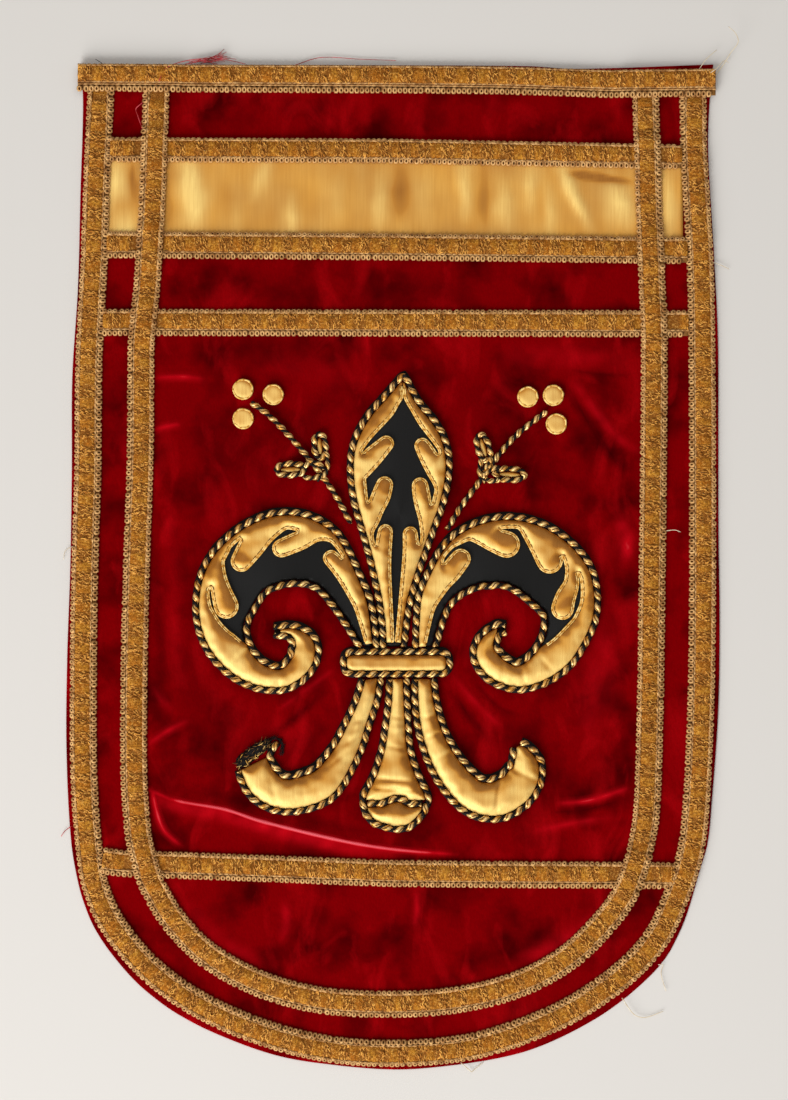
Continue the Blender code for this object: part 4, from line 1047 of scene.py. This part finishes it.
# where the leaves of a sprig are tied to its stem the cord is wound over it
leafTies = {
    "left": (((-44.6, 76.5), (-43.2, 69.8), (-45.2, 61.2), (-50.5, 57.8)),
             ((-59.2, 66.5), (-54.5, 69.2), (-49.2, 68.5), (-45.6, 64.8)),
             ((-59.2, 59.9), (-53.9, 58.9), (-48.2, 60.6))),
    "right": (((58.5, 71.2), (57.5, 65.8), (58.2, 60.2), (61.8, 56.6)),
              ((65.8, 73.2), (63.2, 67.6), (59.6, 64.2)),
              ((70.5, 66.4), (65.2, 64.8), (60.8, 61.4)), ((70.5, 57.9), (65.6, 56.9), (60.6, 59.2))),
}
tieSizes = {"size": 0.84, "level": 4.0, "rise": 0.5}


def makeLeafTies(side):
    shapes = []
    for number, rows in enumerate(leafTies[side]):
        level = tieSizes["level"] + tieSizes["rise"] * number
        shapes += strandsOf(smoothLine(rows, 1.0), level, tieSizes["size"])[0]
    addPiece(f"sprig_{side}_ties", joined(shapes), [metalThread, blackThread])


for side in ("left", "right"):
    makeLeafTies(side)


# Black satin grounds

groundSizes = {"smooth": 1.5, "rimStep": 2.0, "grid": 2.4, "thick": 0.6, "wave": 0.25, "waveSize": 9}


def groundRim(name):
    return evenRim(name, groundSizes["smooth"], groundSizes["rimStep"])


def makeGround(name):
    level = levelOf(name)
    loop = groundRim(name)
    more = meshGrid(loop, groundSizes["grid"], groundSizes["grid"] / 2)
    wave = [groundSizes["wave"] * max(0, ripple(x, y * 0.6, groundSizes["waveSize"], 4)) for x, y in more]
    heights = level + groundSizes["thick"] + np.array([0.0] * len(loop) + wave)
    shape = clothBody(loop, more, heights, level)
    piece = addPiece(name.replace("ground", "blackGround"), shape, [blackSatin], [name])


for groundName in ("ground_petal", "ground_scroll_left", "ground_scroll_right"):
    makeGround(groundName)
print("grounds laid")


# Padded gold satin

padSizes = {
    "rimStep": 1.3, "edge": 0.45, "edgeDrop": 0.35, "grid": 1.4,
    "reach": 9.0, "swell": 2.4, "pucker": 0.6, "puckerSize": 6.0, "raggedSize": 2.2, "roughSize": 1.6,
    "shine": 0.36, "shineUp": 1.9, "shineLeft": 0.6, "mottle": 0.45, "mottleSize": 9.0,
}

# painted highlights and shade on the padded satin: x, y, radius, tone (above zero a painted highlight, below
# zero painted shade)
padPaintedLight = (
    (-19, 68, 8, 0.55), (28, 69, 7, 0.55), (-14, 38, 8, 0.25), (24, 40, 8, 0.25), (-9, 5, 9, 0.4),
    (13, 4, 9, 0.4), (-4, 84, 8, -0.4), (19, 82, 8, -0.4), (-6.5, 55, 7, -0.4), (19, 55, 7, -0.4),
    (-5.5, 24, 6, -0.35), (12, 23.5, 6, -0.35), (-9, 101, 11, -0.3), (19, 101, 11, -0.3),
    (-96, 26, 14, 0.25), (-67, 16, 9, 0.4), (-40, 5, 8, -0.35), (-26, -15, 9, 0.4), (-18, -42, 10, 0.35),
    (-100, 4, 9, -0.35), (-110, -27, 9, -0.35), (-121, 0, 12, -0.2), (-103, -60, 12, 0.5),
    (-80, -72, 10, 0.3), (-62, -55, 9, 0.1), (31, -8, 9, 0.4), (44, 7, 8, -0.35), (24, -28, 10, 0.35),
    (74, 15, 9, -0.35), (58, 25, 10, -0.1), (104, 4, 9, -0.35), (112, -25, 9, -0.35), (98, -64, 12, 0.4),
    (76, -72, 10, 0.35), (-22.5, -96, 12, 0.75), (-33, -120, 9, 0.3), (-87, -145, 12, 0.4),
    (-62, -149, 12, 0.4), (2, -105, 12, 0.5), (2, -84, 9, 0.4), (2, -134, 10, 0.25), (22, -92, 11, 0.5),
    (61, -153, 12, 0.3), (86, -131, 10, 0.4), (36, -128, 10, 0.2), (-92, 110, 22, 0.45),
    (101, 107, 22, 0.45), (-36, -108, 14, 0.25), (-70, -136, 14, 0.3), (44, -118, 14, 0.25),
    (78, -138, 12, 0.3),
)

# pressed folds across the padded satin: x, y at both ends, height, half width
padFolds = (
    (71.5, -139, 68, -164, -1.3, 1.5), (78, -139, 75, -160, 0.5, 3), (-12, -140, 12, -142, -0.8, 1.5),
    (-14, -146.5, 14, -148.5, -0.7, 1.4), (-6, -118, 9, -121, -0.45, 1.5), (-5, -98, 10, -101, -0.4, 1.4),
    (-4, -108, 9, -106, 0.4, 2), (-34, -119, -17, -108, -0.5, 1.6), (-29, -104, -12, -98, -0.45, 1.5),
    (-45, -134, -29, -121, -0.45, 1.7), (-82, -138, -77, -160, -0.5, 1.8),
    (-61, -139, -58, -163, -0.35, 1.9), (16, -101, 32, -97, -0.45, 1.5), (20, -114, 38, -107, -0.5, 1.5),
    (27, -128, 45, -119, -0.45, 1.7), (50, -139, 45, -160, -0.4, 1.8), (80, -134, 99, -143, -0.5, 1.7),
    (-97, -54, -109, -66, -0.5, 1.8), (-88, -61, -94, -80, -0.6, 1.8), (-74, -65, -77, -83, -0.45, 1.6),
    (84, -63, 88, -82, -0.6, 1.8), (96, -58, 107, -71, -0.5, 1.8), (74, -63, 71, -82, -0.45, 1.6),
    (-112, 15, -98, 24, -0.35, 2), (-32, -20, -20, -26, -0.4, 1.5), (-26, -36, -14, -40, -0.3, 1.4),
    (38, -18, 28, -26, -0.4, 1.5),
)


def padFold(x, y):
    # height of the folds at a spot
    lift = 0.0
    for x0, y0, x1, y1, height, half in padFolds:
        along, across = Vector((x1 - x0, y1 - y0)), Vector((x - x0, y - y0))
        share = across.dot(along) / along.length_squared
        if 0 < share < 1:
            away = abs(along.cross(across)) / along.length
            lift += height * math.exp(-((away / half) ** 2)) * math.sin(math.pi * share) ** 0.5
    return lift


def padShine(vertex):
    # painted light on the satin: brighter where it faces the light, darker where it faces away, with a random
    # mottle and the painted highlights and shade at listed spots
    sizes = padSizes
    x, y, _ = vertex.co / mm
    up, right = vertex.normal.y, vertex.normal.x
    shine = sizes["shine"] - sizes["shineUp"] * up - sizes["shineLeft"] * right
    shine += sizes["mottle"] * ripple(x, y, sizes["mottleSize"], 3)
    for toneX, toneY, radius, tone in padPaintedLight:
        shine += tone * math.exp(-((x - toneX) ** 2 + (y - toneY) ** 2) / radius**2)
    return max(0.0, min(1.0, shine))


def makePad(name, newName, rimHeight, crown, material=None, reach=None, rough=0.0, ragged=0.0):
    sizes = padSizes
    level = levelOf(name)
    reach = reach or sizes["reach"]
    loop = evenRim(name, 1.0, sizes["rimStep"], corner=50)
    if ragged:
        out = np.array([[ragged * (1 + ripple(x, y, sizes["raggedSize"], 4))] for x, y in loop])
        loop = loop - sidesOf(loop, closed=True) * out
    inner = loop + sidesOf(loop, closed=True) * sizes["edge"]
    inner = inner[insideOf(inner, loop) & (distanceTo(inner, loop) > 0.35)]
    more = np.vstack([inner, meshGrid(loop, sizes["grid"], 1.0)])
    away = distanceTo(more, loop)
    heights = []
    for (x, y), far in zip(more, away):
        share = min(1, far / reach)
        swell = 1 - (1 - share) ** sizes["swell"]
        pucker = sizes["pucker"] * ripple(x, y, sizes["puckerSize"], 6) * (1 - share) ** 0.7
        heights.append(level + rimHeight + (crown - rimHeight) * swell
                       + (pucker + padFold(x, y)) * min(1, far) + rough * ripple(x, y, sizes["roughSize"], 2))
    tops = np.concatenate([np.full(len(loop), level + rimHeight - sizes["edgeDrop"]), heights])
    piece = addPiece(newName, clothBody(loop, more, tops, level), [material or goldSatin],
                     [name])
    # lit: painted highlight and shade, laid on by the satin's colours
    shine = np.array([padShine(vertex) for vertex in piece.data.vertices], np.float32)
    piece.data.attributes.new("lit", "FLOAT", "POINT").data.foreach_set("value", shine)
    return loop


padLoops = {}
for flameName in ("flame_petal_left", "flame_petal_right", "flame_scroll_left", "flame_scroll_right"):
    padLoops[flameName] = makePad(flameName, flameName.replace("flame", "goldFlame"), 1.1, 3.8)
for footName in ("foot_left", "foot_right", "foot_centre", "foot_centre_tip"):
    padLoops[footName] = makePad(footName, footName + "_pad", 1.6, 4.9)
padLoops["collar"] = makePad("collar", "collar_pad", 1.8, 3.7, reach=2.6)
for side in ("left", "right"):
    for number in (1, 2, 3):
        padLoops[f"disc_{side}_{number}"] = makePad(
            f"sprig_{side}_disc_{number}", f"sprig_{side}_spangle_{number}", 1.4, 2.3, reach=3.5)
    for place in ("upper", "lower"):
        makePad(f"sprig_{side}_leaf_{place}", f"sprig_{side}_leafPad_{place}", 1.2, 1.8, reach=2.0)
feltLoop = makePad("foot_left_fray", "frayedFelt", 1.0, 2.0, material=blackThread, reach=3.0, rough=0.5,
                   ragged=0.9)


# Fibres that stick out of the worn felt, and a tuft of red silk at the top edge

fibreSizes = {
    "count": 210, "long": 5.5, "thick": 0.17, "along": (0.78, 0.62), "spread": 0.6, "level": 3.0, "steps": 5,
    "hookStep": 0.35, "hookLong": 3.2, "hookLevel": 2.2, "hookRise": 0.5,
}
tuftSizes = {"count": 34, "long": 15.0, "thick": 0.2, "from": (-141, 333.5), "to": (-108, 339.0)}


def makeFibre(x, y, z, way, length, rise, thick):
    # one hair, bowed upwards
    last = fibreSizes["steps"] - 1
    bend = dice.uniform(-0.35, 0.35)
    points = []
    for step in range(last + 1):
        share = step / last
        turn = way + bend * share * 2
        points.append((x, y, z + rise * math.sin(math.pi * share) + 0.3))
        x += math.cos(turn) * length / last
        y += math.sin(turn) * length / last
    return tubeOf(np.array(points), thick, 3)


# where the felt shows round the hook of the cord
feltHook = ((-88, -118), (-80.5, -114.3), (-75.5, -114.5), (-73.6, -118.5), (-74.5, -123))


def makeFibres():
    sizes = fibreSizes
    low, high = feltLoop.min(axis=0), feltLoop.max(axis=0)
    lean = math.atan2(*sizes["along"][::-1])
    shapes = []
    while len(shapes) < sizes["count"]:
        spot = np.array([[dice.uniform(low[0], high[0]), dice.uniform(low[1], high[1])]])
        if not insideOf(spot, feltLoop)[0]:
            continue
        way = lean + dice.gauss(0, sizes["spread"]) + (math.pi if dice.random() < 0.5 else 0)
        length = sizes["long"] * dice.uniform(0.4, 1.1)
        shift = 0.4 * length * np.array([math.cos(way), math.sin(way)])
        kind = dice.choices((0, 1, 2), (0.66, 0.24, 0.1))[0]
        thick = sizes["thick"] * (1.5 if kind == 2 else 1)
        shapes.append((kind, makeFibre(*(spot[0] - shift), sizes["level"], way, length,
                                       dice.uniform(0.3, 1.4), thick)))
    hook, _ = evenly(smoothLine(feltHook, 1), sizes["hookStep"])
    for here, after in zip(hook, hook[1:]):
        way = math.atan2(*(after - here)[::-1]) + dice.gauss(0, 0.3)
        x, y = here[0] + dice.gauss(0, 0.6), here[1] + dice.gauss(0, 0.6)
        shapes.append((0, makeFibre(x, y, sizes["hookLevel"], way, sizes["hookLong"], sizes["hookRise"],
                                    sizes["thick"] * 1.5)))
    addPiece("feltFibres", joined(shapes), [blackThread, gimpTape, couchedThread])


def makeRedTuft():
    start, end = tuftSizes["from"], tuftSizes["to"]
    lean = math.atan2(end[1] - start[1], end[0] - start[0])
    shapes = []
    for _ in range(tuftSizes["count"]):
        share = dice.uniform(0, 0.7) ** 0.7
        x = start[0] + (end[0] - start[0]) * share + dice.gauss(0, 0.8)
        y = start[1] + (end[1] - start[1]) * share + dice.gauss(0, 0.7)
        length = tuftSizes["long"] * dice.uniform(0.3, 1)
        shapes.append((0, makeFibre(x, y, dice.uniform(1, 3.4), lean + dice.gauss(0, 0.16), length,
                                    dice.uniform(0, 0.8), tuftSizes["thick"])))
    addPiece("redTuft", joined(shapes), [redThread])


makeFibres()
makeRedTuft()
print("padded satin done")


# Fine couched edges of the gold flames

# threads and stitches: how far in from the edge, thickness, height
edgeSizes = {"threads": ((0.3, 0.62, 1.5), (1.4, 0.46, 2.1)), "stitch": (1.98, 0.24, 2.45), "stitchLong": 3.4,
             "stitchApart": 3.8, "step": 1.3, "stitchStep": 0.85, "sides": 5, "away": 2.2}


def makeFlameEdge(name, groundName):
    loop = padLoops[name]
    level = levelOf(name)
    free = distanceTo(loop, groundRim(groundName)) > edgeSizes["away"]
    side = sidesOf(loop, closed=True)
    start = int(np.argmin(free))
    order = [*range(start, len(loop)), *range(start)]
    shapes = []
    for shown, group in itertools.groupby(order, key=lambda i: bool(free[i])):
        chain = list(group)
        if not shown or len(chain) < 4:
            continue
        for shift, thread, height in edgeSizes["threads"]:
            line, _ = evenly(loop[chain] + side[chain] * shift, edgeSizes["step"])
            spots = np.column_stack([line, np.full(len(line), level + height)])
            shapes.append((0, tubeOf(spots, thread, edgeSizes["sides"])))
        shift, thread, height = edgeSizes["stitch"]
        line, run = evenly(loop[chain] + side[chain] * shift, edgeSizes["stitchStep"])
        for start in np.arange(0.5, run[-1] - 2, edgeSizes["stitchApart"]):
            chosen = (run >= start) & (run <= start + edgeSizes["stitchLong"])
            if chosen.sum() > 2:
                spots = np.column_stack([line[chosen], np.full(chosen.sum(), level + height)])
                shapes.append((1, tubeOf(spots, thread, 4)))
    addPiece(name.replace("flame", "fineEdge"), joined(shapes), [couchedThread, gimpTape])


for flameName, groundName in (("flame_petal_left", "ground_petal"), ("flame_petal_right", "ground_petal"),
                              ("flame_scroll_left", "ground_scroll_left"),
                              ("flame_scroll_right", "ground_scroll_right")):
    makeFlameEdge(flameName, groundName)
print("flame edges couched")


# Gilt rims of the spangles

rimSizes = {"in": 0.7, "wave": 0.5, "waveSize": 2.4, "step": 0.7, "thick": 0.72, "lump": 0.3, "lumpSize": 1.4,
            "height": 1.6}


def makeSpangleRims(side):
    sizes = rimSizes
    shapes = []
    for number in (1, 2, 3):
        loop = padLoops[f"disc_{side}_{number}"]
        level = levelOf(f"sprig_{side}_disc_{number}")
        wave = np.array([[ripple(x, y, sizes["waveSize"], 15)] for x, y in loop])
        wavy = sizes["in"] + sizes["wave"] * wave
        rim, _ = evenly(loop + sidesOf(loop, closed=True) * wavy, sizes["step"], closed=True)
        lump = np.array([ripple(x, y, sizes["lumpSize"], 16) for x, y in rim])
        thick = sizes["thick"] + sizes["lump"] * lump
        spots = np.column_stack([rim, np.full(len(rim), level + sizes["height"])])
        shapes.append((0, tubeOf(spots, thick, 5, closed=True)))
    addPiece(f"sprig_{side}_spangleRims", joined(shapes), [couchedThread])


for side in ("left", "right"):
    makeSpangleRims(side)


# Loose thread ends along the edges

# colour number, thickness, then x, y, z along each
looseEnds = (
    (0, 0.3, ((212, 324, 4), (219, 333, 3), (224, 341, 5), (228.5, 347.5, 8), (226.5, 352.5, 11),
              (222, 357.5, 9))),
    (0, 0.28, ((203, 330, 4), (208, 337, 5), (214.8, 343.1, 4))),
    (0, 0.26, ((208, 326, 5), (214, 330, 7), (220, 336, 4), (223, 335, 2))),
    (1, 0.3, ((-155, 322, 6.5), (-151, 330, 6), (-141, 335, 4), (-126, 337.5, 3), (-111, 337, 1.5),
              (-98, 334, 3))),
    (1, 0.25, ((-66, 333, 2.5), (-48, 338.5, 1.5), (-22, 337.5, 1.2), (2, 336.5, 1.6))),
    (2, 0.25, ((-190, 329, 5), (-193, 334, 4), (-197.5, 337.1, 3))),
    (1, 0.35, ((-166, 308, 5), (-170.5, 304, 4), (-169.5, 300, 3.5), (-166, 290, 4.5))),
    (0, 0.3, ((152, -286, 3), (160.3, -297.3, 2), (167.6, -299.3, 1.2), (179.6, -295.3, 1))),
    (0, 0.26, ((176, -264, 3), (179.6, -264, 2), (178.2, -270, 1.2), (181.5, -282, 1))),
    (0, 0.3, ((45, -329, 3), (52.2, -335.5, 1.5), (60, -329.2, 1))),
    (0, 0.3, ((181, 24, 2.6), (187, 24.6, 3.4), (191, 23.3, 2.5))),
    (1, 0.28, ((-213.5, -172, 2), (-218, -175.5, 1.6), (-220.5, -179, 1))),
    (0, 0.24, ((-212, 14, 2), (-217.5, 11, 1.6), (-219, 5, 1))),
    (0, 0.24, ((211, 203, 2), (218, 200.5, 1.5), (223.5, 198, 1))),
)


def makeLooseEnds():
    shapes = []
    for number, thick, rows in looseEnds:
        line = smoothLine(rows, 1.0, corner=80)
        shapes.append((number, tubeOf(line, thick * np.linspace(1, 0.7, len(line)), 4)))
    addPiece("looseEnds", joined(shapes), [looseThread, redThread, blackThread])


makeLooseEnds()
print("loose ends drawn")
